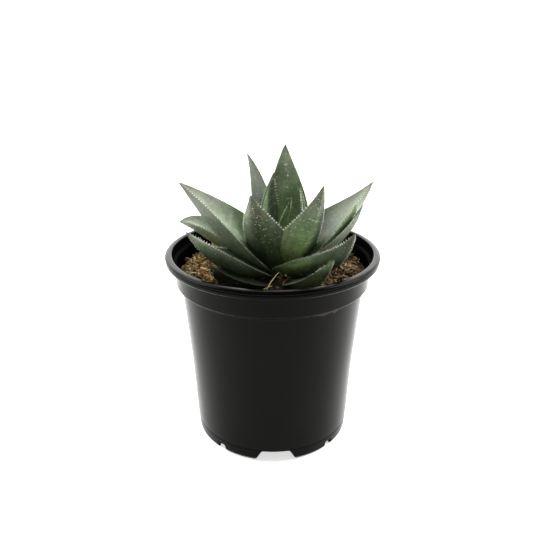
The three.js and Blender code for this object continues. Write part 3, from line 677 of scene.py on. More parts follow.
def leaf_tint(leaf, u, v, lower):
    up, low, brown, yellow = DRESS[leaf.name][:4]
    green_and_light_up, green_and_light_low = DRESS[leaf.name][8:10]
    k = leaf.phase
    patch = 0.5 + 0.25 * np.sin(7 * u + 2 * v + k[3]) + 0.25 * np.sin(13 * u - 4 * v + k[4])
    bloom = np.where(lower, low, up) * (0.55 + 0.6 * patch)
    # bloom thins towards the shaded base and along the middle of the lower face
    bloom = bloom * (0.35 + 0.65 * smooth01(0.05, 0.6, u))
    bloom = np.where(lower, bloom * (0.45 + 0.8 * np.abs(v) ** 1.6), bloom)
    # on leaf_08's lower face the flank towards negative v gets extra pale bloom: partly the leaf's own bloom, partly a
    # painted highlight where that flank catches the light
    if leaf.name == "leaf_08":
        bloom = bloom + lower * 0.62 * smooth01(0.15, 0.8, -v) * smooth01(0.05, 0.3, u)
    c = np.where(lower[:, None], GREEN_LOW, GREEN_UP)
    c = mixc(c, YELLOW, yellow * 0.65 * (1 - smooth01(0.12, 0.62, u)))
    c = mixc(c, BLOOM, np.clip(bloom, 0, 1) * 0.80)
    c = mixc(c, BROWN, np.minimum(brown * 0.60 * smooth01(0.50, 0.95, u) * (0.7 + 0.3 * np.sin(5 * v + k[5])), 0.85))
    # the skin thins to a paler line at the margins
    c = mixc(c, PALE, 0.20 * smooth01(0.93, 1.0, np.abs(v)) * (1 - smooth01(0.75, 0.95, u)))
    if leaf.name == "leaf_17":
        c = mixc(c, PALE, 0.55 * smooth01(0.72, 0.95, v) * smooth01(0.25, 0.5, u))
    # painted light and shade: the face factors and the stretch factors below lighten lit faces and darken shaded ones,
    # besides setting the depth of the green
    tone_and_painted_light = np.where(lower, green_and_light_low, green_and_light_up) * 1.0
    for under in (False, True):
        for (uc, ur), (vc, vr), more in SKIN_TONE_AND_PAINTED_LIGHT.get((leaf.name, under), []):
            tone_and_painted_light = np.where(lower == under, tone_and_painted_light * more ** np.exp(-((u - uc) / ur) ** 2 - ((v - vc) / vr) ** 2), tone_and_painted_light)
    c = c * tone_and_painted_light[:, None] * np.where(lower[:, None], 1.0, HUES.get(leaf.name, (1.0, 1.0, 1.0)))
    c = c * np.minimum(1, 0.72 / c.max(1))[:, None]
    c = mixc(c, TIP, smooth01(0.915, 0.985, u) * 0.85)
    return np.concatenate([c, np.clip(bloom, 0, 1)[:, None]], 1)


def largest_shell(verts, polys):
    """indices of the vertices of the biggest connected piece"""
    label = np.arange(len(verts))
    pairs = np.concatenate([np.stack([np.asarray(p), np.roll(p, -1)], 1) for p in polys])
    while True:
        low = np.minimum(label[pairs[:, 0]], label[pairs[:, 1]])
        new = label.copy()
        np.minimum.at(new, pairs[:, 0], low)
        np.minimum.at(new, pairs[:, 1], low)
        new = new[new]
        if (new == label).all():
            break
        label = new
    names, counts = np.unique(label, return_counts=True)
    return label == names[counts.argmax()]


def temp_object(name, verts, quads, tris):
    o = bpy.data.objects.new(name, make_mesh(name, verts, [quads, tris]))
    bpy.context.scene.collection.objects.link(o)
    return o


def drop(o):
    me = o.data
    bpy.data.objects.remove(o)
    bpy.data.meshes.remove(me)


def cut(o, cutters, solver="MANIFOLD"):
    """o less the cutters, as plain arrays in mm"""
    for k, c in enumerate(cutters):
        m = o.modifiers.new(f"cut{k}", "BOOLEAN")
        m.operation, m.object, m.solver = "DIFFERENCE", c, solver
    bpy.context.view_layer.update()
    me = bpy.data.meshes.new_from_object(o.evaluated_get(bpy.context.evaluated_depsgraph_get()))
    v = np.zeros(len(me.vertices) * 3, np.float32)
    me.vertices.foreach_get("co", v)
    polys = [list(p.vertices) for p in me.polygons]
    bpy.data.meshes.remove(me)
    return v.reshape(-1, 3).astype(float) / MM, polys


STEM_AXIS = (3.5, 1.0)
STEM_PROFILE = [(0, 62), (1.6, 62.6), (3.2, 68), (4.6, 75), (5.6, 82), (5.8, 88), (5.0, 94), (3.2, 99.4), (1.2, 101.6), (0, 102)]


def lathe(profile, segments, cx=0.0, cy=0.0):
    """closed or axis-to-axis profile turned about a vertical axis; points on the axis become single vertices"""
    verts, rows = [], []
    angle = 2 * np.pi * np.arange(segments) / segments
    for r, z in profile:
        if r < 1e-6:
            rows.append((len(verts), 1))
            verts.append((cx, cy, z))
        else:
            rows.append((len(verts), segments))
            verts.extend(np.stack([cx + r * np.cos(angle), cy + r * np.sin(angle), np.full(segments, z)], 1).tolist())
    quads, tris = [], []
    closed = profile[0][0] > 1e-6
    j = np.arange(segments)
    j1 = (j + 1) % segments
    for i in range(len(profile) if closed else len(profile) - 1):
        (a, na), (b, nb) = rows[i], rows[(i + 1) % len(rows)]
        if na == 1 and nb == 1:
            continue
        if na == 1:
            tris.append(np.stack([np.full(segments, a), b + j1, b + j], 1))
        elif nb == 1:
            tris.append(np.stack([a + j, a + j1, np.full(segments, b)], 1))
        else:
            quads.append(np.stack([a + j, a + j1, b + j1, b + j], 1))
    return np.array(verts), np.concatenate(quads), np.concatenate(tris) if tris else np.zeros((0, 3), int)


def tube(points, radius, sides=7, bead=None, squash=1.0, normals=None):
    """closed tube along points, pinched to a point at both ends"""
    points = np.asarray(points, float)
    m = len(points)
    g = unit(np.gradient(points, axis=0))
    n = unit(normals - np.sum(normals * g, 1)[:, None] * g) if normals is not None else unit(np.cross(g, [0.31, 0.2, 0.93]))
    s = np.cross(g, n)
    r = np.broadcast_to(np.asarray(radius, float), (m,)).copy()
    a = 2 * np.pi * np.arange(sides) / sides
    ring = points[:, None] + r[:, None, None] * (np.cos(a)[None, :, None] * n[:, None] + squash * np.sin(a)[None, :, None] * s[:, None])
    verts = np.vstack([ring.reshape(-1, 3), points[0] - g[0] * r[0] * 0.8, points[-1] + g[-1] * r[-1] * 0.8])
    i, j = np.meshgrid(np.arange(m - 1), np.arange(sides), indexing="ij")
    p, q = (i * sides + j).ravel(), (i * sides + (j + 1) % sides).ravel()
    quads = np.stack([p, q, q + sides, p + sides], 1)
    j = np.arange(sides)
    l = (m - 1) * sides
    tris = np.vstack([np.stack([(j + 1) % sides, j, np.full(sides, m * sides)], 1),
                      np.stack([l + j, l + (j + 1) % sides, np.full(sides, m * sides + 1)], 1)])
    return verts, quads, tris


def spike(origin, direction, forward, length, half_long, half_thin, curve=0.25, sides=6):
    """small hooked tooth: oval foot, narrower neck, pointed end bent forward"""
    d, f = unit(direction), unit(forward - np.dot(forward, unit(direction)) * unit(direction))
    b = np.cross(d, f)
    a = 2 * np.pi * np.arange(sides) / sides
    rows = []
    for h, k in ((-0.18, 1.0), (0.12, 0.86), (0.5, 0.46), (0.8, 0.2)):
        c = origin + d * length * h + f * length * curve * max(h, 0) ** 2
        rows.append(c + k * (half_long * np.cos(a)[:, None] * f + half_thin * np.sin(a)[:, None] * b))
    tip = origin + d * length + f * length * curve
    verts = np.vstack(rows + [tip, origin - d * length * 0.25])
    m = len(rows)
    i, j = np.meshgrid(np.arange(m - 1), np.arange(sides), indexing="ij")
    p, q = (i * sides + j).ravel(), (i * sides + (j + 1) % sides).ravel()
    quads = np.stack([p, q, q + sides, p + sides], 1)
    j = np.arange(sides)
    l = (m - 1) * sides
    tris = np.vstack([np.stack([l + j, l + (j + 1) % sides, np.full(sides, m * sides)], 1),
                      np.stack([(j + 1) % sides, j, np.full(sides, m * sides + 1)], 1)])
    return verts, quads, tris


def wart(origin, normal, along, radius, height, stretch=1.0, sides=8):
    """low raised spot, its foot sunk into the skin"""
    n = unit(normal)
    f = unit(along - np.dot(along, n) * n)
    b = np.cross(n, f)
    a = 2 * np.pi * np.arange(sides) / sides
    rows = []
    for k, h in ((1.0, -0.25), (0.97, 0.22), (0.78, 0.68), (0.42, 0.93)):
        rows.append(origin + n * height * h + radius * k * (np.cos(a)[:, None] * f * stretch + np.sin(a)[:, None] * b))
    verts = np.vstack(rows + [origin + n * height, origin - n * height * 0.4])
    m = len(rows)
    i, j = np.meshgrid(np.arange(m - 1), np.arange(sides), indexing="ij")
    p, q = (i * sides + j).ravel(), (i * sides + (j + 1) % sides).ravel()
    quads = np.stack([p, q, q + sides, p + sides], 1)
    j = np.arange(sides)
    l = (m - 1) * sides
    tris = np.vstack([np.stack([l + j, l + (j + 1) % sides, np.full(sides, m * sides)], 1),
                      np.stack([(j + 1) % sides, j, np.full(sides, m * sides + 1)], 1)])
    return verts, quads, tris


def facing_out(verts, quads, tris):
    """flips every face if the shell is inside out"""
    t = [quads[:, [0, 1, 2]], quads[:, [0, 2, 3]]] if len(quads) else []
    t = np.concatenate(t + ([tris] if len(tris) else []))
    a, b, c = verts[t[:, 0]], verts[t[:, 1]], verts[t[:, 2]]
    if np.einsum("ij,ij->", a - verts.mean(0), np.cross(b - verts.mean(0), c - verts.mean(0))) < 0:
        return verts, quads[:, ::-1], tris[:, ::-1]
    return verts, quads, tris


# how far the teeth lose their white to the leaf's own tint, which carries that leaf's painted light and shade
# (leaf_22's teeth go dark in its painted shade)
DIM = {"leaf_22": 0.85, "leaf_20": 0.1, "leaf_05": 0.1, "leaf_07": 0.6, "leaf_13": 0.3}
# how pale the margins are between the teeth
EDGE = {"leaf_22": 0.0, "leaf_20": 0.1, "leaf_17": 0.4, "leaf_10": 0.20, "leaf_13": 0.4, "leaf_04": 0.25, "leaf_03": 0.6, "leaf_02": 0.7, "leaf_01": 0.5}
leaves = [Leaf(row, i + 1) for i, row in enumerate(LEAVES)]
leaf_shells = []                      # bodies after the cuts, for the mix to keep clear of
STATIONS, SPAN = ((96, 28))


def dress_leaf(leaf, verts, polys):
    """body plus margin, teeth, raised spots and tip, as one mesh"""
    rng = np.random.default_rng(2000 + leaf.number)
    heap = Heap()
    u, v, depth, across, along, thick = leaf.locate(verts)
    lower = depth > 0.45 * thick * (1 - np.minimum(np.abs(v), 1) ** KEEL) + 0.02
    local = np.stack([across + lower * 40.0, along, np.full(len(verts), leaf.number * 7.3)], 1)
    tris = [p for p in polys if len(p) == 3]
    quads = [p for p in polys if len(p) == 4]
    rest = {}
    for p in polys:
        if len(p) > 4:
            rest.setdefault(len(p), []).append(p)
    faces = [np.array(f) for f in [tris, quads, *rest.values()] if len(f)]
    heap.add(verts, faces, leaf_tint(leaf, u, v, lower), 0, local)
    tree = BVHTree.FromPolygons([Vector(p) for p in verts], polys)

    def close(p, limit):
        hit = tree.find_nearest(Vector(p), limit)
        return hit[0] is not None

    spacing, height = DRESS[leaf.name][4]
    edge_pale = EDGE.get(leaf.name, 0.08)
    scale = min(1.0, leaf.half / 9.0)
    for side in (1, -1):
        # pale horny margin
        a = np.linspace(0.05, 0.988, 150)
        p = leaf.point(a, np.full(len(a), float(side)), wave=False)
        c, g, s, n = leaf.frames(a)
        ok = np.array([close(q, 0.25) for q in p])
        radius = (0.07 + 0.03 * np.sin(np.pi * a)) * (0.65 + 0.35 * scale)
        radius = radius * (1 + 0.22 * np.sin(a * leaf.length / spacing * 2 * np.pi + 1.3 * side) + 0.10 * np.sin(a * 91 + side))
        radius = radius * (1 - 0.55 * smooth01(0.9, 1.0, a))
        starts = np.flatnonzero(np.diff(np.concatenate([[0], ok.astype(int)])) == 1)
        ends = np.flatnonzero(np.diff(np.concatenate([ok.astype(int), [0]])) == -1)
        for b, e in zip(starts, ends):
            if e - b < 3:
                continue
            k = slice(b, e + 1)
            fade = np.minimum(1, np.minimum(np.arange(e - b + 1), np.arange(e - b, -1, -1)) / 2.0 + 0.15)
            tv, tq, tt = facing_out(*tube(p[k], radius[k] * fade, 7, normals=n[k]))
            ta = np.concatenate([np.repeat(a[k], 7), [a[b], a[e]]])
            own = leaf_tint(leaf, ta, np.full(len(ta), 0.97 * side), np.zeros(len(ta), bool))[:, :3]
            tc = mixc(own, lin(190, 198, 170), edge_pale * smooth01(0.08, 0.35, ta) * (1 - smooth01(0.70, 0.90, ta)))
            tc = mixc(tc, lin(70, 66, 50), smooth01(0.86, 0.97, ta) * 0.8)
            heap.add(tv, [tq, tt], np.concatenate([tc, np.zeros((len(tc), 1))], 1), 1)
        # teeth
        l = rng.uniform(0, spacing) + 0.10 * leaf.length
        while l < 0.965 * leaf.length:
            b = np.interp(l, leaf.arc, leaf.fine_u)
            l += spacing * rng.uniform(0.78, 1.26)
            h = height * rng.uniform(0.72, 1.18) * (0.55 + 0.45 * smooth01(0.1, 0.4, b)) * (1 - 0.40 * smooth01(0.88, 1.0, b))
            q = leaf.point([b], [float(side)], wave=False)[0]
            if rng.random() < 0.05 or not close(q, 0.25):
                continue
            c, g, s, n = (k[0] for k in leaf.frames([b]))
            w, t = leaf.widths(np.array([b]))
            rise, fall = 2 * leaf.trough, 2 * leaf.trough + KEEL * t[0] / max(w[0], 0.5)
            wedge = unit(unit([1.0, rise]) + unit([1.0, fall]))
            d = side * s * wedge[0] + n * (wedge[1] + rng.uniform(-0.10, 0.20)) + g * rng.uniform(0.15, 0.45)
            foot = 0.34 if leaf.name in ("leaf_02", "leaf_03", "leaf_04") else 0.26 if spacing < 1.30 else 0.30
            sv, sq, st = facing_out(*spike(q, d, g, h, foot * rng.uniform(0.85, 1.15), min(foot, 0.27) * rng.uniform(0.85, 1.15), 0.3))
            tint = mixc(lin(226, 230, 212), lin(246, 248, 240), rng.random())
            own = leaf_tint(leaf, np.array([b]), np.array([0.9 * side]), np.array([False]))[0, :3]
            tint = mixc(tint, own, DIM.get(leaf.name, 0.0) + 0.85 * smooth01(0.80, 0.95, b))
            heap.add(sv, [sq, st], np.append(tint, 0), 1)
    # raised spots: the listed ones first, then smaller ones between them
    up, low, banded = DRESS[leaf.name][5:8]
    for (count, size), under in ((up, False), (low, True)):
        placed = []

        def raise_spot(b, x, r, stretch, contrast, crosswise):
            q = leaf.point([b], [x], under)[0]
            if any(np.linalg.norm(q - o) < 0.95 for o in placed) or not close(q, 0.2):
                return
            placed.append(q)
            n = leaf.normal(np.array([b]), np.array([x]), under)[0]
            c, g, s, _ = (k[0] for k in leaf.frames([b]))
            wv, wq, wt = facing_out(*wart(q, n, s if crosswise else g, r, r * 0.42, stretch))
            base = leaf_tint(leaf, np.array([b]), np.array([x]), np.array([under]))[0, :3]
            heap.add(wv, [wq, wt], np.append(mixc(base, lin(208, 218, 190), contrast), 0), 1)

        for b, x, r, stretch, contrast in SPOTS.get((leaf.name, under), []):
            raise_spot(b, x, r, stretch, contrast, stretch >= 1.8)
        listed = len(placed)
        tries = 0
        while len(placed) - listed < count and tries < count * 14:
            tries += 1
            b = rng.uniform(0.22, 0.93)
            x = rng.normal(0, 0.36) if rng.random() < 0.72 else rng.uniform(-0.9, 0.9)
            if banded and under:
                row = np.round(b / 0.085) * 0.085
                b = row + rng.normal(0, 0.007) + 0.035 * x * x
            if abs(x) > 0.90 or not 0.15 < b < 0.93:
                continue
            raise_spot(b, x, size * rng.uniform(0.45, 1.0), rng.uniform(1.0, 2.6 if banded else 2.0), rng.uniform(0.22, 0.70), banded)
        # a row of small bumps runs down the keel near the tip
        if under and count >= 12:
            for b in np.arange(0.70, 0.94, 0.021):
                b = b + rng.uniform(-0.004, 0.004)
                q = leaf.point([b], [0.0], True)[0]
                if rng.random() < 0.25 or not close(q, 0.2):
                    continue
                n = leaf.normal(np.array([b]), np.array([0.0]), True)[0]
                c, g, s, _ = (k[0] for k in leaf.frames([b]))
                sv, sq, st = facing_out(*spike(q, n + 0.5 * g, g, 0.42 * rng.uniform(0.7, 1.2), 0.30, 0.22, 0.3))
                heap.add(sv, [sq, st], np.append(mixc(lin(196, 200, 178), lin(120, 118, 98), rng.random()), 0), 1)
    # dry point of the tip
    a = np.linspace(0.962, 0.9970, 12)
    p = leaf.point(a, np.zeros(len(a)), wave=False)
    c, g, s, n = leaf.frames(a)
    w, t = leaf.widths(a)
    p = p - n * (t * 0.45)[:, None] + n * (t * 0.45 * smooth01(0.96, 1.0, a))[:, None]
    tv, tq, tt = facing_out(*tube(p, np.linspace(0.36, 0.10, len(a)) * (0.55 + 0.45 * scale), 9, normals=n))
    ta = np.concatenate([np.repeat(a, 9), [a[0], a[-1]]])
    heap.add(tv, [tq, tt], np.concatenate([mixc(lin(84, 82, 62), lin(50, 42, 34), smooth01(0.965, 1.0, ta)), np.zeros((len(ta), 1))], 1), 1)
    return heap


stem_verts, stem_quads, stem_tris = lathe(
    [(0 if i in (0, len(STEM_PROFILE) - 1) else r + 0.3, z + (-0.45 if i == 0 else 0.45 if i == len(STEM_PROFILE) - 1 else 0))
     for i, (r, z) in enumerate(STEM_PROFILE)], 24, *STEM_AXIS)
cutters = [(temp_object("cutter_stem", *facing_out(stem_verts, stem_quads, stem_tris)), stem_verts.min(0), stem_verts.max(0))]
for leaf in leaves:
    verts, quads, tris = facing_out(*leaf.body(STATIONS, SPAN))
    o = temp_object("blank", verts, quads, tris)
    lo, hi = verts.min(0), verts.max(0)
    near = [c for c, a, b in cutters if (a <= hi).all() and (b >= lo).all()]
    verts, polys = cut(o, near)
    drop(o)
    keep = largest_shell(verts, polys)
    number = np.cumsum(keep) - 1
    polys = [[int(number[i]) for i in p] for p in polys if keep[p[0]]]
    verts = verts[keep]
    leaf_shells.append((verts, polys))
    heap = dress_leaf(leaf, verts, polys)
    me = heap.mesh(leaf.name, [SKIN, TOOTH], True, 48)
    add_object("plant_" + leaf.name, me, [leaf.name])
    gv, gq, gt = facing_out(*leaf.body(28, 12, 0.3))
    cutters.append((temp_object("cutter_" + leaf.name, gv, gq, gt), gv.min(0), gv.max(0)))
for c, _, _ in cutters:
    drop(c)

# ------------------------------------------------------------------ stem
ring = []
for i in range(len(STEM_PROFILE) - 1):
    (r0, z0), (r1, z1) = STEM_PROFILE[i], STEM_PROFILE[i + 1]
    for k in range(6):
        t = k / 6
        r = r0 + (r1 - r0) * t
        ring.append((r * (1 - 0.05 * abs(math.sin(z0 * 0.9 + t * 5))) if r > 0 else 0, z0 + (z1 - z0) * t))
ring.append(STEM_PROFILE[-1])
sv, sq, st = facing_out(*lathe(ring, 48, *STEM_AXIS))
add_object("plant_stem", make_mesh("plant_stem", sv, [sq, st], [stem_material()]), ["stem"])


# ------------------------------------------------------------------ pot
def rounded(points, n=4):
    """points are (r, z, radius of the corner); each corner becomes a short curve"""
    out = []
    k = len(points)
    for i, (r, z, f) in enumerate(points):
        p = np.array([r, z], float)
        if f <= 0:
            out.append(tuple(p))
            continue
        a, b = np.array(points[i - 1][:2], float), np.array(points[(i + 1) % k][:2], float)
        la, lb = np.linalg.norm(a - p), np.linalg.norm(b - p)
        da, db = (a - p) / la, (b - p) / lb
        half = math.acos(np.clip(np.dot(da, db), -1, 1)) / 2
        t = min(f / max(math.tan(half), 0.05), 0.46 * la, 0.46 * lb)
        for s in np.linspace(0, 1, n + 1):
            out.append(tuple((1 - s) ** 2 * (p + da * t) + 2 * s * (1 - s) * p + s * s * (p + db * t)))
    return out


POT = [
    (36.4, 0.0, 0.15), (37.5, 0.0, 0.3), (38.7, 1.6, 0.8), (39.15, 6.4, 0.15), (39.0, 6.62, 0.15), (39.18, 7.0, 0.2), (39.6, 12.0, 0),
    (41.3, 40.0, 0), (44.75, 79.0, 0.5), (44.9, 80.4, 0.6), (47.6, 82.2, 0.9), (47.6, 91.8, 0.5), (50.6, 92.5, 0.5), (51.7, 92.75, 0.25),
    (52.1, 93.2, 0.35), (52.15, 94.5, 0.12), (51.8, 94.72, 0.10), (51.8, 94.92, 0.10), (52.34, 95.1, 0.10), (52.4, 95.35, 0), (52.33, 95.65, 0),
    (52.15, 95.95, 0), (51.85, 96.24, 0), (51.4, 96.5, 0), (50.85, 96.68, 0), (50.3, 96.78, 0), (49.8, 96.8, 0), (49.4, 96.72, 0), (49.1, 96.5, 0),
    (48.95, 96.1, 0), (48.3, 92.5, 0.6), (47.0, 91.2, 0.5), (46.6, 83.0, 0.6), (43.9, 80.9, 0.6), (40.3, 40.0, 0), (38.6, 12.0, 0), (38.2, 9.5, 0.8),
    (36.8, 8.0, 0.8), (0, 8.0, 0), (0, 7.0, 0), (12.0, 7.0, 0), (12.3, 6.75, 0), (13.0, 6.75, 0), (13.3, 7.0, 0), (36.2, 7.0, 0.5),
]


def prism(azimuth, wide, narrow, height):
    """cutter for a notch through the foot skirt, lower edge wider than the top"""
    outline = [(-wide / 2 - 0.6, -1), (wide / 2 + 0.6, -1), (wide / 2, 0), (narrow / 2 + 0.5, height - 0.35), (narrow / 2 - 0.3, height),
               (-narrow / 2 + 0.3, height), (-narrow / 2 - 0.5, height - 0.35), (-wide / 2, 0)]
    k = len(outline)
    front = np.array([(x, -41.5, z) for x, z in outline])
    back = np.array([(x, -29.5, z) for x, z in outline])
    a = math.radians(azimuth - 270)
    turn = np.array([[math.cos(a), -math.sin(a), 0], [math.sin(a), math.cos(a), 0], [0, 0, 1]])
    verts = np.vstack([front, back]) @ turn.T
    verts = np.vstack([verts, verts[:k].mean(0), verts[k:].mean(0)])
    j = np.arange(k)
    j1 = (j + 1) % k
    quads = np.stack([j, j1, j1 + k, j + k], 1)
    tris = np.vstack([np.stack([j1, j, np.full(k, 2 * k)], 1), np.stack([j + k, j1 + k, np.full(k, 2 * k + 1)], 1)])
    return facing_out(verts, quads, tris)


def plug(x, y, r):
    return facing_out(*lathe([(0, 5.0), (r + 0.35, 5.0), (r + 0.35, 6.85), (r, 7.2), (r, 7.8), (r + 0.35, 8.15), (r + 0.35, 10.0), (0, 10.0)], 40, x, y))


pot_blank = temp_object("pot_blank", *facing_out(*lathe(rounded(POT), 288)))
tools = [temp_object("tool", *prism(a, 20.4, 13.0, 6.2)) for a in (272.8, 2.8, 92.8, 182.8)]
tools += [temp_object("tool", *prism(a, 5.8, 4.0, 4.0)) for a in (229.3, 317.3, 49.3, 137.3)]
tools += [temp_object("tool", *plug(0, 0, 4.2))]
tools += [temp_object("tool", *plug(27 * math.cos(math.radians(a)), 27 * math.sin(math.radians(a)), 4.2)) for a in (47.8, 137.8, 227.8, 317.8)]
pv, pp = cut(pot_blank, tools)
for o in tools + [pot_blank]:
    drop(o)
groups, faces_in = {}, {}
for p in pp:
    q = pv[p].mean(0)
    r = math.hypot(q[0], q[1])
    wall = np.interp(q[2], [7.9, 9.5, 12.0, 40.0, 80.9, 83.0, 91.5, 92.3, 96.3], [38.4, 38.4, 38.6, 40.3, 43.9, 46.6, 47.0, 48.3, 48.95])
    groups.setdefault(len(p), []).append(p)
    faces_in.setdefault(len(p), []).append(int(q[2] > 7.9 and q[2] < 96.2 and r < wall + 0.18))
pot_mesh = make_mesh("nursery_pot", pv, [np.array(g) for g in groups.values()], [pot_material(), pot_material("pot_plastic_inside", True)],
                     index=[np.array(g) for g in faces_in.values()], smooth=True, sharp=32)
add_object("nursery_pot", pot_mesh, ["pot"])


# ------------------------------------------------------------------ growing medium
def mix_height(x, y):
    r, a = np.hypot(x, y), np.arctan2(y, x)
    mound = 84.6 + 2.2 * np.cos((np.pi / 2) * np.minimum(1, np.abs(r - 24) / 24))
    uneven = 0.9 * np.sin(3 * a + 0.7) + 0.6 * np.sin(7 * a + r * 0.25) + 0.5 * np.cos(5 * a - r * 0.4)
    return mound + uneven * np.minimum(1, r / 14)


tree_verts, tree_polys, base = [], [], 0
for v, polys in leaf_shells:
    tree_verts.append(v)
    tree_polys.extend([[i + base for i in p] for p in polys])
    base += len(v)
plant_tree = BVHTree.FromPolygons([Vector(p) for p in np.concatenate(tree_verts)], tree_polys)


def clear_of_plant(p, gap):
    """True where a point keeps this gap to every leaf and isn't inside one"""
    hit, normal, _, dist = plant_tree.find_nearest(Vector(p), 12.0)
    if hit is None:
        return True
    return dist > gap and (Vector(p) - hit).dot(normal) > 0


def front_dip(x, y):
    """how far the loose pieces sink at the front, where the lowest leaves press on them"""
    a = np.degrees(np.arctan2(y, x))
    return smooth01(62, 30, np.abs(((a + 90) + 180) % 360 - 180)) * smooth01(16, 24, np.hypot(x, y))


def ground():
    """closed body of the mix with a crumbly top"""
    segments, rings = ((180, 44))
    a = 2 * np.pi * np.arange(segments) / segments
    rr = np.linspace(1.0, 46.0, rings)
    verts = [(0, 0, float(mix_height(0, 0)))]
    for r in rr:
        x, y = r * np.cos(a), r * np.sin(a)
        p = np.stack([x, y, np.zeros(segments)], 1)
        z = mix_height(x, y) + 1.5 * (lattice_noise(p / 3.1, 5) - 0.5) + 1.1 * (lattice_noise(p / 1.3, 6) - 0.5)
        verts.extend(np.stack([x, y, z - 0.6 - 2.6 * front_dip(x, y)], 1).tolist())
    wall = [(46.3, 84.0), (46.2, 83.6), (43.4, 81.2), (39.9, 40), (38.2, 12), (37.7, 9.9), (36.5, 8.3)]
    for r, z in wall:
        verts.extend(np.stack([r * np.cos(a), r * np.sin(a), np.full(segments, z)], 1).tolist())
    verts.append((0, 0, 8.3))
    rows = rings + len(wall)
    j = np.arange(segments)
    j1 = (j + 1) % segments
    quads = []
    for i in range(rows - 1):
        s = 1 + i * segments
        quads.append(np.stack([s + j, s + j + segments, s + j1 + segments, s + j1], 1))
    s = 1 + (rows - 1) * segments
    tris = np.vstack([np.stack([np.zeros(segments, int), 1 + j, 1 + j1], 1), np.stack([s + j, np.full(segments, len(verts) - 1), s + j1], 1)])
    return facing_out(np.array(verts), np.concatenate(quads), tris)


gv, gq, gt = ground()
add_object("mix_ground", make_mesh("mix_ground", gv, [gq, gt], [earth_material()]), ["potting_mix"])


def rotations(yaw, pitch, roll):
    cy, sy, cp, sp, cr, sr = np.cos(yaw), np.sin(yaw), np.cos(pitch), np.sin(pitch), np.cos(roll), np.sin(roll)
    z, o = np.zeros_like(yaw), np.ones_like(yaw)
    rz = np.stack([np.stack([cy, -sy, z], -1), np.stack([sy, cy, z], -1), np.stack([z, z, o], -1)], -2)
    ry = np.stack([np.stack([cp, z, sp], -1), np.stack([z, o, z], -1), np.stack([-sp, z, cp], -1)], -2)
    rx = np.stack([np.stack([o, z, z], -1), np.stack([z, cr, -sr], -1), np.stack([z, sr, cr], -1)], -2)
    return rz @ ry @ rx


def husk_template():
    """split grain husk lying along X: a curved boat with thin walls; unit length, width and height"""
    t = np.array([-0.86, -0.55, -0.18, 0.2, 0.58, 0.87])
    w = np.sqrt(np.clip(1 - np.abs(t) ** 2.2, 0, 1))
    outer, inner = np.radians([-84, -42, 0, 42, 84]), np.radians([52, 0, -52])
    rows = []
    for a, k in zip(t, w):
        ring = [(a, k * math.sin(q), k * math.cos(q) - 0.9 * a * a * 0.5) for q in outer]
        ring += [(a, 0.80 * k * math.sin(q), 0.74 * k * math.cos(q) - 0.9 * a * a * 0.5) for q in inner]
        rows.append(ring)
    v = np.array(rows).reshape(-1, 3)
    k = 8
    v = np.vstack([v, (-1.0, 0, -0.30), (1.04, 0, -0.34)])
    m = len(t)
    i, j = np.meshgrid(np.arange(m - 1), np.arange(k), indexing="ij")
    p, q = (i * k + j).ravel(), (i * k + (j + 1) % k).ravel()
    quads = np.stack([p, q, q + k, p + k], 1)
    j = np.arange(k)
    l = (m - 1) * k
    tris = np.vstack([np.stack([(j + 1) % k, j, np.full(k, m * k)], 1), np.stack([l + j, l + (j + 1) % k, np.full(k, m * k + 1)], 1)])
    return facing_out(v, quads, tris)


def chunk_template(seed):
    """broken bark crumb: a cube's surface pulled about"""
    g = np.array([-1, -0.33, 0.33, 1.0])
    index, verts, quads = {}, [], []

    def at(p):
        key = tuple(np.round(p, 3))
        if key not in index:
            index[key] = len(verts)
            verts.append(p)
        return index[key]

    for axis in range(3):
        for sign in (-1, 1):
            for i in range(3):
                for j in range(3):
                    corner = []
                    for a, b in ((i, j), (i + 1, j), (i + 1, j + 1), (i, j + 1)):
                        p = np.zeros(3)
                        p[axis], p[(axis + 1) % 3], p[(axis + 2) % 3] = sign, g[a], g[b]
                        corner.append(at(p))
                    quads.append(corner if sign > 0 else corner[::-1])
    v = np.array(verts)
    rng = np.random.default_rng(seed)
    v = v * (0.72 + 0.28 * np.linalg.norm(v, axis=1, keepdims=True) ** -0.6)
    v = v + rng.normal(0, 0.17, v.shape)
    return facing_out(v, np.array(quads), np.zeros((0, 3), int))


HUSK = husk_template()
CHUNKS = [chunk_template(s) for s in (3, 8, 21, 34, 55)]


def scatter(heap, template, places, size, yaw, pitch, roll, tint, number0, ends=0.0):
    v, quads, tris = template
    m = rotations(yaw, pitch, roll)
    pts = np.einsum("nij,nkj->nki", m, v[None] * size[:, None, :]) + places[:, None]
    n, k = pts.shape[:2]
    shift = (np.arange(n) * k)[:, None, None]
    t = np.repeat(tint[:, None], k, 1)
    if ends:
        t = t * (1 - ends * smooth01(0.55, 1.0, np.abs(v[:, 0])))[None, :, None]
    local = np.stack([np.broadcast_to(v[:, 1] * 1.0, (n, k)), v[:, 0][None] * size[:, 0:1], np.broadcast_to((number0 + np.arange(n))[:, None] * 3.7, (n, k))], -1)
    faces = [(quads[None] + shift).reshape(-1, 4)]
    if len(tris):
        faces.append((tris[None] + shift).reshape(-1, 3))
    heap.add(pts.reshape(-1, 3), faces, t.reshape(-1, 3), 0, local.reshape(-1, 3))


rng = np.random.default_rng(77)


def spots_on_mix(count, inner=0.0, outer=45.2):
    r = np.sqrt(rng.uniform(inner ** 2, outer ** 2, count))
    a = rng.uniform(0, 2 * np.pi, count)
    return r * np.cos(a), r * np.sin(a), r, np.degrees(a)


def right_hand(x, y):
    """1 on the side of the pot where the mix is darker and barkier"""
    a = np.degrees(np.arctan2(y, x - 0.0))
    return smooth01(75, 40, np.abs(((a + 5) + 180) % 360 - 180))


GOLD = [lin(232, 198, 134), lin(214, 174, 108), lin(190, 148, 84), lin(238, 212, 154), lin(160, 116, 62), lin(202, 164, 102)]
TAN = [lin(206, 172, 118), lin(172, 132, 82), lin(222, 194, 144), lin(132, 92, 56), lin(98, 66, 42)]


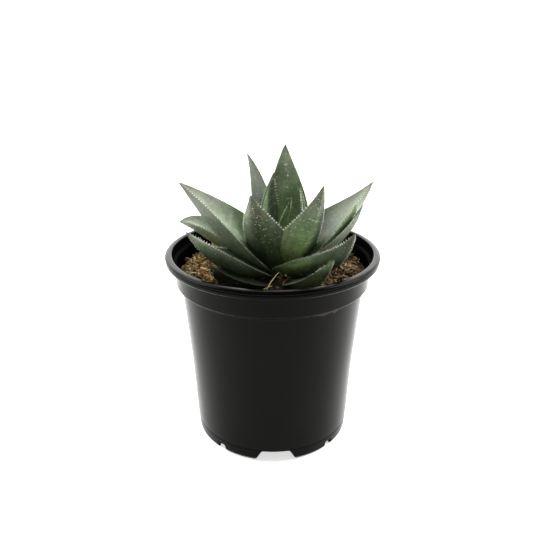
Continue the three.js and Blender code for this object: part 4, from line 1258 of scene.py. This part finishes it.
def lay_husks():
    heap = Heap()
    layers = ((3600, 0.0, 0.8, 14, 30), (3600, 0.5, 1.6, 24, 50), (2100, 1.1, 2.5, 34, 70))
    number = 0
    hollow_pick = np.random.default_rng(78)
    for count, z0, z1, tilt, roll in layers:
        x, y, r, a = spots_on_mix(count, 5.0)
        dip = front_dip(x, y)
        z = mix_height(x, y) + rng.uniform(z0, z1, count) - 0.5 - 2.2 * dip
        size = np.stack([rng.uniform(1.1, 2.4, count), rng.uniform(0.24, 0.48, count), rng.uniform(0.22, 0.44, count)], 1)
        yaw, pitch = rng.uniform(0, 2 * np.pi, count), np.radians(rng.normal(0, tilt, count))
        turn = np.radians(rng.normal(0, roll, count)) + np.where(rng.random(count) < 0.35, np.pi, 0)
        p = np.stack([x, y, z], 1)
        d = np.stack([np.cos(yaw) * np.cos(pitch), np.sin(yaw) * np.cos(pitch), -np.sin(pitch)], 1) * size[:, :1]
        far = np.maximum(np.hypot(*(p + d)[:, :2].T), np.hypot(*(p - d)[:, :2].T))
        # few husks lie in the hollow at the front, under the lowest leaves
        ok = (far < 46.1) & ((dip < 0.25) | (hollow_pick.random(count) < 0.45)) & ((np.abs(x - 2) > 19) | (y > -14) | (y < -39))
        for i in np.flatnonzero(ok):
            ok[i] = clear_of_plant(p[i], 0.6) and clear_of_plant(p[i] + d[i] * 0.9, 0.35) and clear_of_plant(p[i] - d[i] * 0.9, 0.35)
        side = right_hand(x, y)
        gold, tan = np.array(GOLD)[rng.integers(0, len(GOLD), count)], np.array(TAN)[rng.integers(0, len(TAN), count)]
        tint = np.where((rng.random(count) < side * 0.8)[:, None], tan, gold)
        tint = np.minimum(tint * (rng.uniform(0.60, 1.45, count) * (1 - 0.30 * side))[:, None], 0.85)
        # pieces lower in the pile are darker, and those in the front hollow under the lowest leaves are darker still:
        # painted shade
        tint = tint * (0.20 + 0.80 * smooth01(-0.2, 1.6, z - mix_height(x, y) + 2.2 * dip))[:, None] * (1 - 0.72 * np.minimum(dip, 1))[:, None]
        k = np.flatnonzero(ok)
        scatter(heap, HUSK, p[k], size[k], yaw[k], pitch[k], turn[k], tint[k], number, 0.25)
        number += count
    return heap


def lay_bark():
    heap = Heap()
    number = 5000
    red, dark, brown = lin(112, 68, 42), lin(58, 36, 24), lin(136, 96, 60)
    for count, lo, hi, z1 in ((420, 0.8, 1.6, 1.0), (1100, 0.25, 0.7, 1.4)):
        x, y, r, a = spots_on_mix(count)
        side = right_hand(x, y)
        keep = rng.random(count) < 0.22 + 0.78 * side
        s = rng.uniform(lo, hi, count)
        size = np.stack([s * rng.uniform(1.0, 1.7, count), s, s * rng.uniform(0.35, 0.75, count)], 1)
        p = np.stack([x, y, mix_height(x, y) + rng.uniform(0.1, z1, count) - 2.2 * front_dip(x, y)], 1)
        keep &= (np.hypot(x, y) + size[:, 0] * 1.15 < 46.1) & ((front_dip(x, y) < 0.3) | (rng.random(count) < 0.12))
        for i in np.flatnonzero(keep):
            keep[i] = clear_of_plant(p[i], size[i, 0] * 1.0)
        t = rng.random(count)
        tint = np.where((t < 0.45)[:, None], red, np.where((t < 0.75)[:, None], dark, brown)) * rng.uniform(0.7, 1.2, count)[:, None]
        k = np.flatnonzero(keep)
        kind = rng.integers(0, len(CHUNKS), count)
        yaw, pitch, roll = rng.uniform(0, 2 * np.pi, count), np.radians(rng.normal(0, 18, count)), np.radians(rng.normal(0, 18, count))
        for c in range(len(CHUNKS)):
            j = k[kind[k] == c]
            if len(j):
                scatter(heap, CHUNKS[c], p[j], size[j], yaw[j], pitch[j], roll[j], tint[j], number)
        number += count
    # the lone brown chip against the left wall, and the red-brown crumbs at the foot of the straw
    single = [((-43.6, 12.8, 86.0), (1.7, 1.3, 0.9), 1.4, lin(104, 76, 56))]
    for _ in range(150):
        q = np.clip(rng.normal(0, 1, 2), -1.6, 1.6) * (2.2, 1.5)
        p = (1.9 + q[0], -29.0 + q[1], 85.6 + 3.0 * rng.random() ** 0.6 * (1 - 0.09 * q[0] ** 2) * (1 - 0.05 * q[1] ** 2))
        s = rng.uniform(0.28, 0.70)
        single.append((p, (s * 1.3, s, s * 0.7), rng.uniform(0, 6), [lin(70, 46, 26), lin(38, 25, 15), lin(112, 78, 40)][rng.integers(0, 3)]))
    for i, (p, s, yaw, tint) in enumerate(single):
        if i and not clear_of_plant(p, s[0]):
            continue
        scatter(heap, CHUNKS[i % 5], np.array([p]), np.array([s]), np.array([yaw]), np.array([0.2]), np.array([0.3]), np.array([tint]), 9000 + i)
    return heap


def lay_perlite():
    heap = Heap()
    fixed = [(-22.0, -14.8), (-21.3, -11.0), (-32.0, 30.0), (30.0, -19.0), (24.0, 33.0), (-14.0, 40.0), (38.0, 12.0)]
    for i, (x, y) in enumerate(fixed):
        s = 0.42 + 0.1 * (i % 3)
        p = np.array([[x, y, float(mix_height(x, y)) + 2.1]])
        scatter(heap, CHUNKS[i % 5], p, np.array([[s, s, s * 0.9]]), np.array([0.7 * i]), np.array([0.3]), np.array([0.2]), np.array([lin(226, 226, 220)]), 12000 + i)
    return heap


def bent(a, b, bow, n=10):
    a, b = np.array(a, float), np.array(b, float)
    t = np.linspace(0, 1, n)[:, None]
    return a + (b - a) * t + np.array(bow, float) * (4 * t * (1 - t))


def lay_straw():
    heap = Heap()

    def stalk(points, radius, tint, number):
        v, q, t = facing_out(*tube(points, radius, 8, squash=0.55))
        m = len(points)
        along = np.concatenate([np.repeat(np.arange(m), 8), [0, m - 1]]) * 1.0
        across = np.concatenate([np.tile(np.cos(2 * np.pi * np.arange(8) / 8), m), [0, 0]])
        heap.add(v, [q, t], tint, 0, np.stack([across, along, np.full(len(v), number)], 1))

    stalk(bent((-2.6, -30.2, 87.9), (2.9, -27.6, 95.6), (-0.4, 0.1, 0.3), 12), 0.36 * np.linspace(1.15, 0.75, 12), lin(204, 196, 140), 1.0)
    stalk(bent((-4.6, -30.9, 88.2), (-0.3, -29.6, 89.6), (0.2, 0.0, 0.5), 8), 0.26, lin(190, 164, 100), 2.0)
    n = 0
    for _ in range(160):
        if n >= 34:
            break
        x, y, r, a = (k[0] for k in spots_on_mix(1, 14, 43))
        z = float(mix_height(x, y)) + rng.uniform(1.3, 2.6)
        l, yaw = rng.uniform(4, 9), rng.uniform(0, 2 * np.pi)
        d = np.array([math.cos(yaw), math.sin(yaw), rng.uniform(-0.12, 0.22)]) * l / 2
        p = np.array([x, y, z])
        if max(np.hypot(*(p + d)[:2]), np.hypot(*(p - d)[:2])) > 45.6:
            continue
        if not all(clear_of_plant(p + d * k, 0.5) for k in (-1, -0.5, 0, 0.5, 1)):
            continue
        stalk(bent(p - d, p + d, rng.normal(0, 0.5, 3), 7), rng.uniform(0.12, 0.24), GOLD[rng.integers(0, len(GOLD))] * rng.uniform(0.8, 1.1), 10.0 + n)
        n += 1
    return heap


add_object("mix_husks", lay_husks().mesh("mix_husks", [chaff_material("husk_skin", 1.12, 0.72, 0.62)], True, 50))
add_object("mix_bark", lay_bark().mesh("mix_bark", [chaff_material("bark_skin", 1.15, 0.6, 0.85, 1500.0)], True, 40))
add_object("mix_perlite", lay_perlite().mesh("mix_perlite", [chaff_material("perlite_skin", 1.0, 0.9, 0.85)], True, 50))
add_object("mix_straw", lay_straw().mesh("mix_straw", [chaff_material("straw_skin", 1.08, 0.75, 0.6)], True, 50))

# ------------------------------------------------------------------ floor, light, camera
floor_mesh = make_mesh("floor", np.array([(-6000, -6000, -0.05), (6000, -6000, -0.05), (6000, 6000, -0.05), (-6000, 6000, -0.05)]), [np.array([[0, 1, 2, 3]])], [floor_material()])
floor = bpy.data.objects.new("floor", floor_mesh)
bpy.context.scene.collection.objects.link(floor)

SKY_FRONT, SKY_BACK, SKY_TOP = 0.24, 3.9, 0.30
world = bpy.data.worlds.new("studio")
bpy.context.scene.world = world
world.use_nodes = True
wt = world.node_tree
background = next(n for n in wt.nodes if n.type == "BACKGROUND")
background.inputs["Color"].default_value = (1.0, 1.0, 1.0, 1)
# a bright white sweep behind and beside the object, softer light from above, and little from the viewer's side
where = wt.nodes.new("ShaderNodeTexCoord")
split = wt.nodes.new("ShaderNodeSeparateXYZ")
wt.links.new(where.outputs["Generated"], split.inputs[0])


def sweep(axis, low, high, a, b):
    n = wt.nodes.new("ShaderNodeMapRange")
    n.interpolation_type = "SMOOTHSTEP"
    for key, value in (("From Min", low), ("From Max", high), ("To Min", a), ("To Max", b)):
        n.inputs[key].default_value = value
    wt.links.new(split.outputs[axis], n.inputs["Value"])
    return n.outputs[0]


def combine(op, *values):
    n = wt.nodes.new("ShaderNodeMath")
    n.operation = op
    for socket, value in zip(n.inputs, values):
        if isinstance(value, bpy.types.NodeSocket):
            wt.links.new(value, socket)
        else:
            socket.default_value = value
    return n.outputs[0]


around = sweep("Y", -0.45, 0.80, SKY_FRONT, SKY_BACK)
overhead = sweep("Z", 0.40, 0.92, 0.0, 1.0)
level = combine("ADD", combine("MULTIPLY", around, combine("SUBTRACT", 1.0, overhead)), combine("MULTIPLY", overhead, SKY_TOP))
wt.links.new(combine("MULTIPLY", level, sweep("X", -1.0, 1.0, 1.0, 1.03)), background.inputs["Strength"])


def area(name, place, target, size, power):
    light = bpy.data.lights.new(name, "AREA")
    light.shape, light.size, light.size_y, light.energy = "RECTANGLE", size[0], size[1], power
    o = bpy.data.objects.new(name, light)
    bpy.context.scene.collection.objects.link(o)
    o.location = place
    o.rotation_euler = (Vector(target) - Vector(place)).to_track_quat("-Z", "Y").to_euler()
    return o


area("soft_back", (-0.05, 0.80, 0.85), (0, 0.05, 0), (1.5, 0.7), 14.0)
area("soft_left", (-0.95, 0.10, 0.85), (0, 0, 0.08), (0.5, 0.8), 9.0)
area("soft_right", (0.95, 0.10, 0.85), (0, 0, 0.08), (0.5, 0.8), 11.0)

pitch, yaw, roll = math.radians(21.78), math.radians(-0.56), math.radians(-0.05)
forward = np.array([math.sin(yaw) * math.cos(pitch), math.cos(yaw) * math.cos(pitch), -math.sin(pitch)])
right = np.array([math.cos(yaw), -math.sin(yaw), 0.0])
up = np.cross(right, forward)
right, up = math.cos(roll) * right + math.sin(roll) * up, -math.sin(roll) * right + math.cos(roll) * up
camera_data = bpy.data.cameras.new("camera")
camera_data.sensor_width = 36.0
camera_data.lens = 652.5 / 533 * 36.0
camera_data.clip_start, camera_data.clip_end = 0.01, 100
camera = bpy.data.objects.new("camera", camera_data)
bpy.context.scene.collection.objects.link(camera)
m = Matrix.Identity(4)
for i in range(3):
    m[i][0], m[i][1], m[i][2] = right[i], up[i], -forward[i]
m[0][3], m[1][3], m[2][3] = 0.0, -0.300, 0.2074
camera.matrix_world = m
bpy.context.scene.camera = camera
bpy.context.scene.view_settings.view_transform = "Standard"
